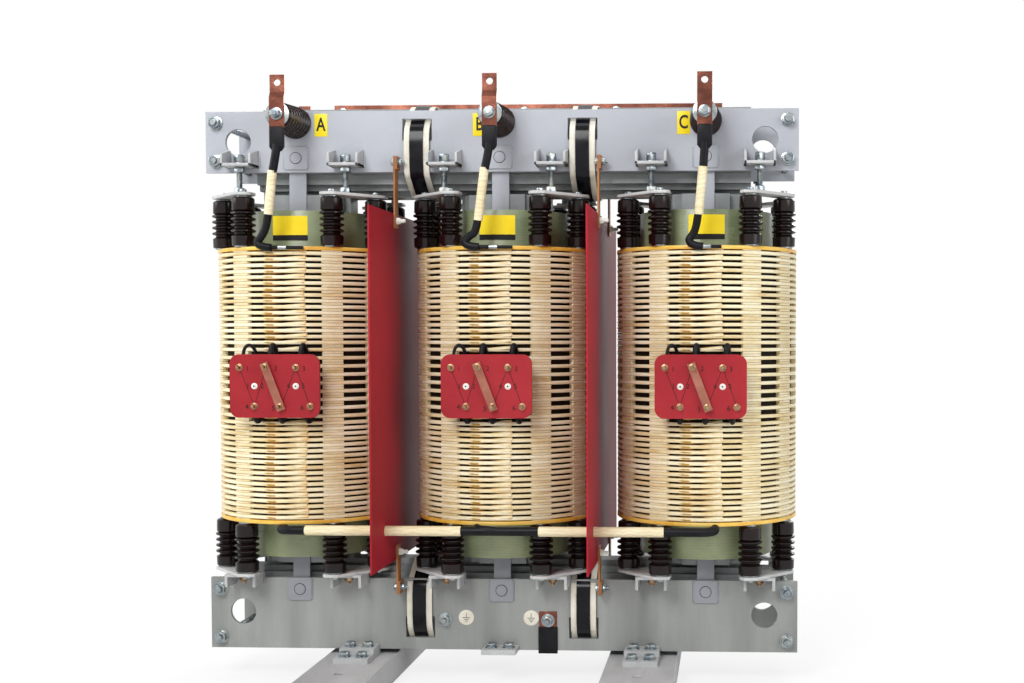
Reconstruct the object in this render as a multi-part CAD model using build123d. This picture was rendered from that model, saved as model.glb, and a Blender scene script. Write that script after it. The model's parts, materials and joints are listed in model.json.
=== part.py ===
from build123d import *
import math
import os

# Open dry type transformer, three phases side by side along X, on two base rails along Y.
# Millimetres, +Z up. The origin is on the floor, under the middle of the core.
# The high voltage side faces -Y and the low voltage side faces +Y.

# ---- driving dimensions ----
PHASES = ("a", "b", "c")
PHASE_PITCH = 570.0
PHASE_X = {name: (index - 1) * PHASE_PITCH for index, name in enumerate(PHASES)}

# core: stepped section cut from one circle
CORE_RADIUS = 130.0
PACKET_WIDTHS = (250.0, 220.0, 188.0, 133.0)
LOWER_YOKE_Z = 202.0
UPPER_YOKE_Z = 1485.0

# clamps
CLAMP_LENGTH = 1650.0
CLAMP_THICKNESS = 12.0
LOWER_CLAMP_BOTTOM = 87.0
LOWER_CLAMP_HEIGHT = 200.0
UPPER_CLAMP_BOTTOM = 1420.0
UPPER_CLAMP_HEIGHT = 170.0
LIFTING_HOLE_RADIUS = 36.0
LIFTING_HOLE_MARGIN = 92.0
LIFTING_HOLE_RISE = 103.0
BAND_X = 230.0
SLOT_WIDTH = 82.0
SLOT_NEAR = 22.0
SLOT_FAR = 82.0

# tie plates on the limbs
TIE_PLATE_WIDTH = 48.0
TIE_PLATE_THICKNESS = 6.0
TIE_PLATE_END = 20.0
PAD_SIZE = 64.0
PAD_THICKNESS = 4.0
PAD_LOWER_RISE = 168.0
PAD_UPPER_RISE = 40.0

# rods that draw the two clamps together
ROD_RADIUS = 10.0
ROD_MARGIN = 30.0
ROD_SIDES = 8
ROD_EDGE = 32.0
ROD_OVERHANG = 26.0
NUT_ACROSS = 32.0
NUT_HEIGHT = 14.0

# bands round the yokes
BAND_WIDTH = 38.0
BAND_THICKNESS = 3.0
LINER_WIDTH = 76.0
LINER_THICKNESS = 2.0
BAND_CLEARANCE = 2.0
SHOULDER_CLEARANCE = 9.0
LINER_GAP = 0.5

# windings; large round pieces are drawn with this many flats to keep the model light
ROUND_SIDES = 20
LV_INNER_RADIUS = 146.0
LV_BOTTOM = 400.0
LV_TOP = 1265.0
CYLINDER_RADIUS = 190.0
CYLINDER_WALL = 5.0
CYLINDER_BOTTOM = 355.0
CYLINDER_TOP = 1310.0
HV_RADIUS = 254.0
HV_BOTTOM = 455.0
HV_TOP = 1208.0
HV_GROOVE_DEPTH = 24.0
HV_DISC_STACKS = 7
HV_GROOVE_SHARE = 0.4

# support insulators, in pairs under one pressing plate
INSULATOR_RADIUS = 34.0
INSULATOR_SIDES = 6
INSULATOR_HEIGHT = 141.0
INSULATOR_CIRCLE = 225.5
INSULATOR_ANGLES = (33.0, 57.0)
PRESS_PLATE_THICKNESS = 8.0
PRESS_PLATE_WIDTH = 62.0
PRESS_PLATE_OVERHANG = 34.0
PRESS_PLATE_CHAMFER = 26.0

# brackets on the clamps that carry the pressing plates
BRACKET_WIDTH = 86.0
BRACKET_DEPTH = 64.0
BRACKET_WALL = 8.0
BRACKET_OFFSET = 148.0
UPPER_BRACKET_Z = 1432.0
BRACKET_FLANGE = 36.0
STUD_RADIUS = 8.0
STUD_SIDES = 6
STUD_NUT_ACROSS = 27.0
STUD_NUT_HEIGHT = 13.0
STUD_HEAD_RISE = 24.0

# high voltage terminals
POST_DROP = 33.0
POST_LENGTH = 150.0
POST_BASE_RADIUS = 45.0
POST_TIP_RADIUS = 34.0
POST_RIBS = 3
POST_RIB_DEPTH = 8.0
POST_SIDES = 10
BAR_WIDTH = 40.0
BAR_THICKNESS = 5.0
BAR_UPPER_LENGTH = 62.0
BAR_DROP = 37.0
BAR_HOLE_RADIUS = 9.0
BAR_HOLE_DROP = 21.0
BAR_CRANK = 8.0
BAR_CRANK_RISE = 43.0
TERMINAL_WASHER_RADIUS = 18.0
TERMINAL_WASHER_THICKNESS = 3.0

# high voltage leads and the star link
LEAD_RADIUS = 9.0
CABLE_SIDES = 6
LEAD_ELBOW = {"a": -60.0, "b": -72.0, "c": -40.0}
LEAD_END = 55.0
LEAD_BEND = 22.0
LEAD_STRAIGHT = 60.0
LEAD_ELBOW_RISE = 22.0
LEAD_ELBOW_RUN = 26.0
STAR_RADIUS = 12.5
STAR_BEND = 24.0
STAR_TAIL_RADIUS = 10.0
STAR_Y = -275.0
STAR_TAIL = {"a": -10.0, "b": -45.0, "c": 12.0}

# tap boards
BOARD_WIDTH = 244.0
BOARD_HEIGHT = 170.0
BOARD_THICKNESS = 8.0
BOARD_CORNER = 26.0
BOARD_Z = 832.0
BOARD_SHIFT = -10.0
BOARD_STANDOFF = 30.0
TAP_STUD_RADIUS = 9.0
TAP_STUD_LENGTH = 22.0
TAP_UPPER = ((-95.0, 50.0), (-22.0, 52.0), (58.0, 50.0))
TAP_LOWER = ((-55.0, -54.0), (18.0, -54.0), (96.0, -54.0))
TAP_LINK_WIDTH = 22.0
TAP_LINK_THICKNESS = 4.0
TAP_LINK_LIFT = 8.0
TAP_LOOP_RADIUS = 9.0
TAP_LOOP_RISE = 12.0
BOARD_SPACER_X = (-54.0, 58.0)
BOARD_SPACER_RADIUS = 9.0

# barriers between the phases
BARRIER_X = {"left": -290.0, "right": 272.0}
BARRIER_THICKNESS = 5.0
BARRIER_DEPTH = 820.0
BARRIER_BOTTOM = 346.0
BARRIER_TOP = 1303.0
BARRIER_HOLE_CLEARANCE = 2.5
HANGER_WIDTH = 34.0
HANGER_THICKNESS = 5.0
HANGER_LAP = 40.0
LUG_HEIGHT = 36.0
UPPER_LUG_Z = 1424.0
LOWER_LUG_Z = 250.0

# base rails and feet
RAIL_X = 395.0
RAIL_WIDTH = 190.0
RAIL_HEIGHT = 73.0
RAIL_WALL = 8.0
RAIL_LENGTH = 1100.0
RAIL_HOLE_RADIUS = 13.0
RAIL_HOLE_Y = 350.0
FOOT_WIDTH = 96.0
FOOT_REACH = 250.0
CLEAT_REACH = 190.0
CLEAT_THICKNESS = 14.0
FOOT_BOLT_X = 24.0
FOOT_BOLT_RADIUS = 10.0

# low voltage bars on the rear clamp
NEUTRAL_RISE = 65.0
NEUTRAL_HEIGHT = 80.0
NEUTRAL_THICKNESS = 8.0
NEUTRAL_LEFT = -547.0
NEUTRAL_RIGHT = 613.0
NEUTRAL_BLOCK = 22.0
NEUTRAL_BLOCKS = 4
NEUTRAL_FIRST_BLOCK = -523.0
NEUTRAL_BLOCK_PITCH = 274.0
NEUTRAL_DROP_SHIFT = 70.0
NEUTRAL_DROP_WIDTH = 36.0
LV_POST_RADIUS = 30.0
LV_POST_Z = 1540.0
LV_BAR_WIDTH = 80.0
LV_BAR_THICKNESS = 8.0
LV_BAR_Y = 222.0
LV_BAR_TOP = 1650.0
LV_BAR_HOLE_RADIUS = 9.0
LV_BAR_HOLE_DROP = 30.0

# earth terminals on the lower front clamp
EARTH_Z = 172.0
EARTH_STUD_X = (-159.0, 130.0)
EARTH_STUD_RADIUS = 8.0
EARTH_STUD_LENGTH = 24.0
EARTH_STRAP_WIDTH = 50.0
EARTH_STRAP_THICKNESS = 3.0
EARTH_STRAP_DROP = 10.0

# ---- sizes that follow ----
PACKET_DEPTHS = [math.sqrt(CORE_RADIUS ** 2 - (width / 2) ** 2) for width in PACKET_WIDTHS]
STACK_DEPTH = PACKET_DEPTHS[-1]
YOKE_HEIGHT = PACKET_WIDTHS[0]
YOKE_LENGTH = 2 * PHASE_PITCH + PACKET_WIDTHS[0]
WINDOW_BOTTOM = LOWER_YOKE_Z + YOKE_HEIGHT / 2
WINDOW_TOP = UPPER_YOKE_Z - YOKE_HEIGHT / 2
LIFTING_HOLE_X = CLAMP_LENGTH / 2 - LIFTING_HOLE_MARGIN
ROD_X = CLAMP_LENGTH / 2 - ROD_MARGIN
CLAMP_INNER = STACK_DEPTH + TIE_PLATE_THICKNESS
CLAMP_OUTER = CLAMP_INNER + CLAMP_THICKNESS
LOWER_CLAMP_TOP = LOWER_CLAMP_BOTTOM + LOWER_CLAMP_HEIGHT
UPPER_CLAMP_TOP = UPPER_CLAMP_BOTTOM + UPPER_CLAMP_HEIGHT
POST_Z = UPPER_CLAMP_TOP - POST_DROP
BAR_BOTTOM = POST_Z - BAR_DROP
BAR_CRANK_Z = POST_Z + BAR_CRANK_RISE
BAR_TOP = BAR_CRANK_Z + BAR_UPPER_LENGTH
TIE_PLATE_BOTTOM = LOWER_CLAMP_BOTTOM + TIE_PLATE_END
TIE_PLATE_TOP = UPPER_CLAMP_TOP - TIE_PLATE_END
LOWER_PLATE_TOP = HV_BOTTOM - INSULATOR_HEIGHT
LOWER_PLATE_BOTTOM = LOWER_PLATE_TOP - PRESS_PLATE_THICKNESS
UPPER_PLATE_BOTTOM = HV_TOP + INSULATOR_HEIGHT
UPPER_PLATE_TOP = UPPER_PLATE_BOTTOM + PRESS_PLATE_THICKNESS
BRACKET_Y = CLAMP_OUTER + BRACKET_DEPTH / 2
NEUTRAL_TOP = UPPER_CLAMP_TOP + NEUTRAL_RISE
STAR_Z = HV_BOTTOM - STAR_RADIUS
POST_TIP_Y = -CLAMP_OUTER - POST_LENGTH
BOARD_BACK_Y = -HV_RADIUS - BOARD_STANDOFF
BOARD_FRONT_Y = BOARD_BACK_Y - BOARD_THICKNESS


def block(x_range, y_range, z_range):
    """A box between two values on each axis."""
    size = [high - low for low, high in (x_range, y_range, z_range)]
    middle = [(low + high) / 2 for low, high in (x_range, y_range, z_range)]
    return Pos(*middle) * Box(*size)


def about(middle, width):
    """The low and high value of a width laid about its middle."""
    return middle - width / 2, middle + width / 2


def front_and_rear(solid):
    """A piece on the front and its mirror image on the rear."""
    return [solid, solid.mirror(Plane.XZ)]


def prism(radius, sides, height):
    """An upright many-sided bar, standing on Z = 0 with a flat towards the front."""
    turn = 180.0 / sides
    return extrude(RegularPolygon(radius, sides, rotation=90.0 + turn), height)


def turned(stations, sides):
    """A ribbed body along Z from (height, radius) stations, drawn with flats."""
    turn = 90.0 + 180.0 / sides
    sections = [Pos(0, 0, z) * RegularPolygon(radius, sides, rotation=turn) for z, radius in stations]
    return loft(sections, ruled=True)


def hex_nut(across_flats, height):
    """A plain nut standing on Z = 0."""
    return extrude(RegularPolygon(across_flats / 2, 6, major_radius=False), height)


def write(node, solids):
    """Write one node, which may be a group of separate solids."""
    solids = solids if isinstance(solids, list) else [solids]
    shape = solids[0] if len(solids) == 1 else Compound(children=solids)
    export_step(shape, f"parts/{node}.step")


# ---- core ----
def stepped_section():
    """Cross-section of limb and yoke: packets of sheets that fill the core circle."""
    packets = [Rectangle(width, 2 * depth) for width, depth in zip(PACKET_WIDTHS, PACKET_DEPTHS)]
    section = packets[0]
    for packet in packets[1:]:
        section += packet
    return section


def core_limb(phase):
    height = WINDOW_TOP - WINDOW_BOTTOM
    return Pos(PHASE_X[phase], 0, WINDOW_BOTTOM) * extrude(stepped_section(), height)


def yoke(axis_z):
    lying = Rot(0, 90, 0) * extrude(stepped_section(), YOKE_LENGTH)
    return Pos(-YOKE_LENGTH / 2, 0, axis_z) * lying


# ---- clamps ----
def clamp(bottom, height, hole_z, slot_z):
    """Flat clamping plate with two lifting holes and two slots for the bands."""
    plate = block(about(0, CLAMP_LENGTH), (-CLAMP_OUTER, -CLAMP_INNER), (bottom, bottom + height))
    middle_y = -(CLAMP_OUTER + CLAMP_INNER) / 2
    for side in (-1, 1):
        hole = Rot(90, 0, 0) * Cylinder(LIFTING_HOLE_RADIUS, 2 * CLAMP_THICKNESS)
        plate -= Pos(side * LIFTING_HOLE_X, middle_y, hole_z) * hole
        slot = Box(SLOT_WIDTH, 2 * CLAMP_THICKNESS, SLOT_FAR - SLOT_NEAR)
        plate -= Pos(side * BAND_X, middle_y, slot_z) * slot
        for rod_z in (bottom + ROD_EDGE, bottom + height - ROD_EDGE):
            plate -= Pos(side * ROD_X, 0, rod_z) * clamp_rod()
    return plate


def clamps():
    slot_middle = (SLOT_NEAR + SLOT_FAR) / 2
    lower = clamp(
        LOWER_CLAMP_BOTTOM,
        LOWER_CLAMP_HEIGHT,
        LOWER_CLAMP_BOTTOM + LIFTING_HOLE_RISE,
        LOWER_YOKE_Z - slot_middle,
    )
    upper = clamp(
        UPPER_CLAMP_BOTTOM,
        UPPER_CLAMP_HEIGHT,
        UPPER_CLAMP_TOP - UPPER_CLAMP_HEIGHT / 2,
        UPPER_YOKE_Z + slot_middle,
    )
    front_lower, rear_lower = front_and_rear(lower)
    front_upper, rear_upper = front_and_rear(upper)
    return {
        "front_lower_clamp": front_lower,
        "rear_lower_clamp": rear_lower,
        "front_upper_clamp": front_upper,
        "rear_upper_clamp": rear_upper,
    }


def tie_plates():
    """Strips along the limbs that tie the upper clamp to the lower one, front row only."""
    y_range = (-CLAMP_INNER, -STACK_DEPTH)
    z_range = (TIE_PLATE_BOTTOM, TIE_PLATE_TOP)
    return [block(about(x, TIE_PLATE_WIDTH), y_range, z_range) for x in PHASE_X.values()]


def tie_plate_pads():
    """Square pads welded over the tie plate pins, on both clamps, front and rear."""
    pads = []
    for x in PHASE_X.values():
        for z in (LOWER_CLAMP_BOTTOM + PAD_LOWER_RISE, UPPER_CLAMP_BOTTOM + PAD_UPPER_RISE):
            y_range = (-CLAMP_OUTER - PAD_THICKNESS, -CLAMP_OUTER)
            pads += front_and_rear(block(about(x, PAD_SIZE), y_range, about(z, PAD_SIZE)))
    return pads


def clamp_boards():
    """Insulating boards between yoke and clamp, one in each bay between tie plates."""
    boards = []
    for bay_x in (-PHASE_PITCH / 2, PHASE_PITCH / 2):
        for axis_z in (LOWER_YOKE_Z, UPPER_YOKE_Z):
            width = PHASE_PITCH - TIE_PLATE_WIDTH - 2 * BAND_CLEARANCE
            z_range = about(axis_z, 2 * SLOT_NEAR)
            board = block(about(bay_x, width), (-CLAMP_INNER, -STACK_DEPTH), z_range)
            boards += front_and_rear(board)
    return boards


def rod_heights():
    return (
        LOWER_CLAMP_BOTTOM + ROD_EDGE,
        LOWER_CLAMP_TOP - ROD_EDGE,
        UPPER_CLAMP_BOTTOM + ROD_EDGE,
        UPPER_CLAMP_TOP - ROD_EDGE,
    )


def clamp_rod():
    """One rod along Y, drawn with flats, about the middle of the core."""
    length = 2 * (CLAMP_OUTER + ROD_OVERHANG)
    return Pos(0, length / 2, 0) * Rot(90, 0, 0) * prism(ROD_RADIUS, ROD_SIDES, length)


def clamp_rods():
    """Threaded rods between the clamps, each with its two nuts run home."""
    nut = Pos(0, -CLAMP_OUTER, 0) * Rot(90, 0, 0) * hex_nut(NUT_ACROSS, NUT_HEIGHT)
    rods = []
    for x in (-ROD_X, ROD_X):
        for z in rod_heights():
            rods.append(Pos(x, 0, z) * (clamp_rod() + nut + nut.mirror(Plane.XZ)))
    return rods


# ---- bands round the yokes ----
def band_outline(edge_drop, gap):
    """Half outline (y, z) of a band about the yoke axis, from its top to its bottom.

    The band lies over the yoke, comes out through the clamp's slot, runs down the
    outside of the clamp and turns in under its edge.
    """
    outside = CLAMP_OUTER + gap
    top = YOKE_HEIGHT / 2 + BAND_CLEARANCE + gap
    first_step = PACKET_DEPTHS[0]
    shoulder = PACKET_WIDTHS[2] / 2 + BAND_CLEARANCE / 2 + gap
    return [
        (first_step + SHOULDER_CLEARANCE, top),
        (PACKET_DEPTHS[2] + 2 * gap, shoulder),
        (outside, (SLOT_NEAR + SLOT_FAR) / 2 - SHOULDER_CLEARANCE + gap),
        (outside, -edge_drop - BAND_CLEARANCE - gap),
        (PACKET_DEPTHS[2] + 2 * gap, -shoulder),
        (first_step + SHOULDER_CLEARANCE, -top),
    ]


def band_ring(edge_drop, gap, thickness, width):
    """A closed band of one thickness, extruded to its width about X = 0."""
    loops = []
    for spread in (gap + thickness, gap):
        half = band_outline(edge_drop, spread)
        points = half + [(-y, z) for y, z in reversed(half)]
        loops.append(Plane.YZ * Polygon(*points, align=None))
    return extrude(loops[0] - loops[1], width / 2, both=True)


def yoke_bands():
    """Band and liner at each slot; the lower ones are the upper ones turned over."""
    bands = []
    liners = []
    for x in (-BAND_X, BAND_X):
        for axis_z, flip, drop in (
            (UPPER_YOKE_Z, 0, UPPER_YOKE_Z - UPPER_CLAMP_BOTTOM),
            (LOWER_YOKE_Z, 180, LOWER_CLAMP_TOP - LOWER_YOKE_Z),
        ):
            place = Pos(x, 0, axis_z) * Rot(flip, 0, 0)
            liners.append(place * band_ring(drop, LINER_GAP, LINER_THICKNESS, LINER_WIDTH))
            bands.append(place * band_ring(drop, LINER_GAP + LINER_THICKNESS, BAND_THICKNESS, BAND_WIDTH))
    return bands, liners


# ---- windings ----
def tube(outer, inner, bottom, top):
    ring = prism(outer, ROUND_SIDES, top - bottom) - prism(inner, ROUND_SIDES, top - bottom)
    return Pos(0, 0, bottom) * ring


def lv_winding(phase):
    """Foil winding wound tight inside the insulating cylinder."""
    body = tube(CYLINDER_RADIUS - CYLINDER_WALL, LV_INNER_RADIUS, LV_BOTTOM, LV_TOP)
    return Pos(PHASE_X[phase], 0, 0) * body


def insulating_cylinder(phase):
    body = tube(CYLINDER_RADIUS, CYLINDER_RADIUS - CYLINDER_WALL, CYLINDER_BOTTOM, CYLINDER_TOP)
    return Pos(PHASE_X[phase], 0, 0) * body


def hv_winding(phase):
    """Disc winding: stacks of discs with open gaps between them, on the insulating cylinder."""
    pitch = (HV_TOP - HV_BOTTOM) / (HV_DISC_STACKS - HV_GROOVE_SHARE)
    body = tube(HV_RADIUS - HV_GROOVE_DEPTH, CYLINDER_RADIUS, HV_BOTTOM, HV_TOP)
    for index in range(HV_DISC_STACKS):
        start = HV_BOTTOM + index * pitch
        body += tube(HV_RADIUS, CYLINDER_RADIUS, start, start + pitch * (1 - HV_GROOVE_SHARE))
    return Pos(PHASE_X[phase], 0, 0) * body


# ---- supports of the windings ----
def insulator_places():
    """Front pairs of support insulators: a list of ((x, y), (x, y)) round every limb."""
    pairs = []
    for x in PHASE_X.values():
        for side in (-1, 1):
            pair = []
            for angle in INSULATOR_ANGLES:
                turn = math.radians(angle)
                across = side * INSULATOR_CIRCLE * math.sin(turn)
                pair.append((x + across, -INSULATOR_CIRCLE * math.cos(turn)))
            pairs.append(pair)
    return pairs


def support_insulators(bottom):
    column = prism(INSULATOR_RADIUS, INSULATOR_SIDES, INSULATOR_HEIGHT)
    columns = []
    for pair in insulator_places():
        for x, y in pair:
            columns += front_and_rear(Pos(x, y, bottom) * column)
    return columns


def bracket_x():
    return [x + side * BRACKET_OFFSET for x in PHASE_X.values() for side in (-1, 1)]


def pressing_plates(bottom):
    """Each plate lies skewed over a pair of insulators and reaches to its bracket."""
    plates = []
    for (x0, y0), (x1, y1) in insulator_places():
        length = math.hypot(x1 - x0, y1 - y0) + 2 * PRESS_PLATE_OVERHANG
        turn = math.degrees(math.atan2(y1 - y0, x1 - x0))
        outline = Rectangle(length, PRESS_PLATE_WIDTH)
        outline = chamfer(outline.vertices(), PRESS_PLATE_CHAMFER)
        plate = extrude(outline, PRESS_PLATE_THICKNESS)
        place = Pos((x0 + x1) / 2, (y0 + y1) / 2, bottom)
        plates += front_and_rear(place * Rot(0, 0, turn) * plate)
    return plates


def upper_brackets():
    """Open trays welded to the upper clamp: a base with two side flanges."""
    brackets = []
    for x in bracket_x():
        y_range = (-CLAMP_OUTER - BRACKET_DEPTH, -CLAMP_OUTER)
        z_range = (UPPER_BRACKET_Z, UPPER_BRACKET_Z + BRACKET_FLANGE)
        tray = block(about(x, BRACKET_WIDTH), y_range, z_range)
        hollow = (UPPER_BRACKET_Z + BRACKET_WALL, UPPER_BRACKET_Z + 2 * BRACKET_FLANGE)
        tray -= block(about(x, BRACKET_WIDTH - 2 * BRACKET_WALL), (2 * y_range[0], 0), hollow)
        bore = Pos(x, -BRACKET_Y, UPPER_BRACKET_Z) * prism(STUD_RADIUS, STUD_SIDES, 4 * BRACKET_WALL)
        brackets += front_and_rear(tray - bore)
    return brackets


def lower_brackets():
    """The same trays turned over, on the lower clamp, under the lower pressing plates."""
    brackets = []
    for x in bracket_x():
        y_range = (-CLAMP_OUTER - BRACKET_DEPTH, -CLAMP_OUTER)
        z_range = (LOWER_PLATE_BOTTOM - BRACKET_FLANGE, LOWER_PLATE_BOTTOM)
        tray = block(about(x, BRACKET_WIDTH), y_range, z_range)
        hollow = (z_range[0] - BRACKET_FLANGE, LOWER_PLATE_BOTTOM - BRACKET_WALL)
        tray -= block(about(x, BRACKET_WIDTH - 2 * BRACKET_WALL), (2 * y_range[0], 0), hollow)
        brackets += front_and_rear(tray)
    return brackets


def pressing_studs():
    """Screws through the upper brackets, with their nuts, that press the plates down."""
    studs = []
    for x in bracket_x():
        bottom = UPPER_PLATE_TOP
        top = UPPER_BRACKET_Z + BRACKET_WALL + STUD_HEAD_RISE
        stud = Pos(x, -BRACKET_Y, bottom) * prism(STUD_RADIUS, STUD_SIDES, top - bottom)
        stud += Pos(x, -BRACKET_Y, UPPER_BRACKET_Z + BRACKET_WALL) * hex_nut(STUD_NUT_ACROSS, STUD_NUT_HEIGHT)
        studs += front_and_rear(stud)
    return studs


def bracket_nuts():
    """Nuts under the lower brackets that hold the lower pressing plates."""
    nuts = []
    for x in bracket_x():
        z = LOWER_PLATE_BOTTOM - BRACKET_WALL - STUD_NUT_HEIGHT
        nuts += front_and_rear(Pos(x, -BRACKET_Y, z) * hex_nut(STUD_NUT_ACROSS, STUD_NUT_HEIGHT))
    return nuts


# ---- high voltage terminals ----
def post_insulators():
    """Ribbed tapering posts that stand out from the upper front clamp."""
    step = POST_LENGTH / POST_RIBS
    stations = []
    for index in range(POST_RIBS):
        start = index * step
        radius = POST_BASE_RADIUS - (POST_BASE_RADIUS - POST_TIP_RADIUS) * index / (POST_RIBS - 1)
        stations += [(start, radius), (start + step * 0.5, radius)]
        stations.append((start + step * 0.75, radius - POST_RIB_DEPTH))
    stations[-1] = (POST_LENGTH, POST_TIP_RADIUS - POST_RIB_DEPTH)
    body = turned(stations, POST_SIDES)
    return [Pos(x, -CLAMP_OUTER, POST_Z) * Rot(90, 0, 0) * body for x in PHASE_X.values()]


def terminal_bar(phase):
    """Cranked flat copper bar with one hole at its top."""
    x = PHASE_X[phase]
    back = POST_TIP_Y
    low = block(about(x, BAR_WIDTH), (back - BAR_THICKNESS, back), (BAR_BOTTOM, BAR_CRANK_Z))
    crank = [
        (back, BAR_CRANK_Z),
        (back - BAR_THICKNESS, BAR_CRANK_Z),
        (back - BAR_THICKNESS + BAR_CRANK, BAR_CRANK_Z + 2 * BAR_CRANK),
        (back + BAR_CRANK, BAR_CRANK_Z + 2 * BAR_CRANK),
    ]
    joggle = Pos(x, 0, 0) * extrude(Plane.YZ * Polygon(*crank, align=None), BAR_WIDTH / 2, both=True)
    high_y = (back - BAR_THICKNESS + BAR_CRANK, back + BAR_CRANK)
    high = block(about(x, BAR_WIDTH), high_y, (BAR_CRANK_Z + 2 * BAR_CRANK, BAR_TOP))
    hole = Pos(x, back, BAR_TOP - BAR_HOLE_DROP) * Rot(90, 0, 0) * Cylinder(BAR_HOLE_RADIUS, 4 * BAR_CRANK)
    return low + joggle + high - hole


def terminal_bolts():
    """Washer and bolt head that hold each bar on its post."""
    bolts = []
    for x in PHASE_X.values():
        washer = prism(TERMINAL_WASHER_RADIUS, POST_SIDES, TERMINAL_WASHER_THICKNESS)
        head = Pos(0, 0, TERMINAL_WASHER_THICKNESS) * hex_nut(NUT_ACROSS * 0.7, NUT_HEIGHT * 0.7)
        bolts.append(Pos(x, POST_TIP_Y - BAR_THICKNESS, POST_Z) * Rot(90, 0, 0) * (washer + head))
    return bolts


def cable(points, bend, radius):
    """A cable of one radius, drawn with flats, along straight runs with rounded bends."""
    path = FilletPolyline(*points, radius=bend)
    section = Plane(origin=path @ 0, z_dir=path % 0) * RegularPolygon(radius, CABLE_SIDES)
    return sweep(section, path=path)


def hv_lead(phase):
    """Lead from the terminal bar down to the top of the disc winding."""
    x = PHASE_X[phase]
    ring_z = HV_TOP + LEAD_RADIUS
    ring_y = -HV_RADIUS + 2 * LEAD_RADIUS
    points = [
        (x, POST_TIP_Y - BAR_THICKNESS / 2, BAR_BOTTOM),
        (x, POST_TIP_Y - BAR_THICKNESS / 2, BAR_BOTTOM - LEAD_STRAIGHT),
        (x + LEAD_ELBOW[phase], ring_y, ring_z + LEAD_ELBOW_RISE),
        (x + LEAD_ELBOW[phase] + LEAD_ELBOW_RUN, ring_y, ring_z),
        (x + LEAD_END, ring_y, ring_z),
    ]
    return cable(points, LEAD_BEND, LEAD_RADIUS)


def star_link():
    """Link under the windings that joins the three inner ends, with a tail to each."""
    left = PHASE_X["a"] + STAR_TAIL["a"]
    right = PHASE_X["c"] + STAR_TAIL["c"]
    end_y = -HV_RADIUS + HV_GROOVE_DEPTH
    points = [
        (left, end_y, STAR_Z),
        (left, STAR_Y, STAR_Z),
        (right, STAR_Y, STAR_Z),
        (right, end_y, STAR_Z),
    ]
    tail = Rot(90, 0, 0) * prism(STAR_TAIL_RADIUS, CABLE_SIDES, end_y - STAR_Y)
    middle = Pos(PHASE_X["b"] + STAR_TAIL["b"], end_y, STAR_Z)
    return cable(points, STAR_BEND, STAR_RADIUS) + middle * tail


# ---- tap boards ----
def board_place(phase, y=0.0):
    return Pos(PHASE_X[phase] + BOARD_SHIFT, y, BOARD_Z)


def tap_board(phase):
    face = RectangleRounded(BOARD_WIDTH, BOARD_HEIGHT, BOARD_CORNER)
    return board_place(phase, BOARD_BACK_Y) * Rot(90, 0, 0) * extrude(face, BOARD_THICKNESS)


def tap_studs():
    """Six studs on each board, three on the upper line and three on the lower."""
    studs = []
    for phase in PHASES:
        for across, rise in TAP_UPPER + TAP_LOWER:
            stud = prism(TAP_STUD_RADIUS, 6, TAP_STUD_LENGTH)
            place = board_place(phase, BOARD_FRONT_Y) * Pos(across, 0, rise) * Rot(90, 0, 0)
            studs.append(place * stud)
    return studs


def tap_links(studs):
    """Copper strips that join the middle studs of each board, bored for them."""
    (x0, z0), (x1, z1) = TAP_UPPER[1], TAP_LOWER[1]
    length = math.hypot(x1 - x0, z1 - z0) + TAP_LINK_WIDTH
    turn = math.degrees(math.atan2(z1 - z0, x1 - x0))
    links = []
    for index, phase in enumerate(PHASES):
        strip = Rot(0, -turn, 0) * Box(length, TAP_LINK_THICKNESS, TAP_LINK_WIDTH)
        y = BOARD_FRONT_Y - TAP_LINK_LIFT - TAP_LINK_THICKNESS / 2
        strip = board_place(phase, y) * Pos((x0 + x1) / 2, 0, (z0 + z1) / 2) * strip
        count = len(TAP_UPPER + TAP_LOWER)
        for stud in studs[index * count:(index + 1) * count]:
            strip -= stud
        links.append(strip)
    return links


def seated_on_winding(solids, phase):
    """Trim pieces that stand on the disc winding so that they end on its surface."""
    winding = hv_winding(phase)
    return [(solid - winding).solids().sort_by(Axis.Y)[0] for solid in solids]


def tap_board_spacers(phase):
    """Round spacers that hold the board off the winding."""
    depth = BOARD_STANDOFF + HV_GROOVE_DEPTH
    rod = Rot(90, 0, 0) * prism(BOARD_SPACER_RADIUS, 6, depth)
    back = board_place(phase, BOARD_BACK_Y + depth)
    return seated_on_winding([back * Pos(x, 0, 0) * rod for x in BOARD_SPACER_X], phase)


def tap_loops(phase):
    """Cables that come out of the winding above and below the board, and end behind it."""
    loops = []
    depth = BOARD_STANDOFF + HV_GROOVE_DEPTH
    for row, side in ((TAP_UPPER, 1), (TAP_LOWER, -1)):
        for across, _ in row:
            run = Rot(90, 0, 0) * prism(TAP_LOOP_RADIUS, CABLE_SIDES, depth)
            height = side * (BOARD_HEIGHT / 2 - TAP_LOOP_RISE)
            loops.append(board_place(phase, BOARD_BACK_Y + depth) * Pos(across, 0, height) * run)
    return seated_on_winding(loops, phase)


# ---- barriers ----
def barrier(side):
    """Sheet between two phases, with a round hole for the star link."""
    middle_z = (BARRIER_BOTTOM + BARRIER_TOP) / 2
    sheet = Pos(BARRIER_X[side], 0, middle_z) * Box(
        BARRIER_THICKNESS, BARRIER_DEPTH, BARRIER_TOP - BARRIER_BOTTOM
    )
    hole = Rot(0, 90, 0) * prism(STAR_RADIUS + BARRIER_HOLE_CLEARANCE, 8, 4 * BARRIER_THICKNESS)
    return sheet - Pos(BARRIER_X[side] - 2 * BARRIER_THICKNESS, STAR_Y, STAR_Z) * hole


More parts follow.
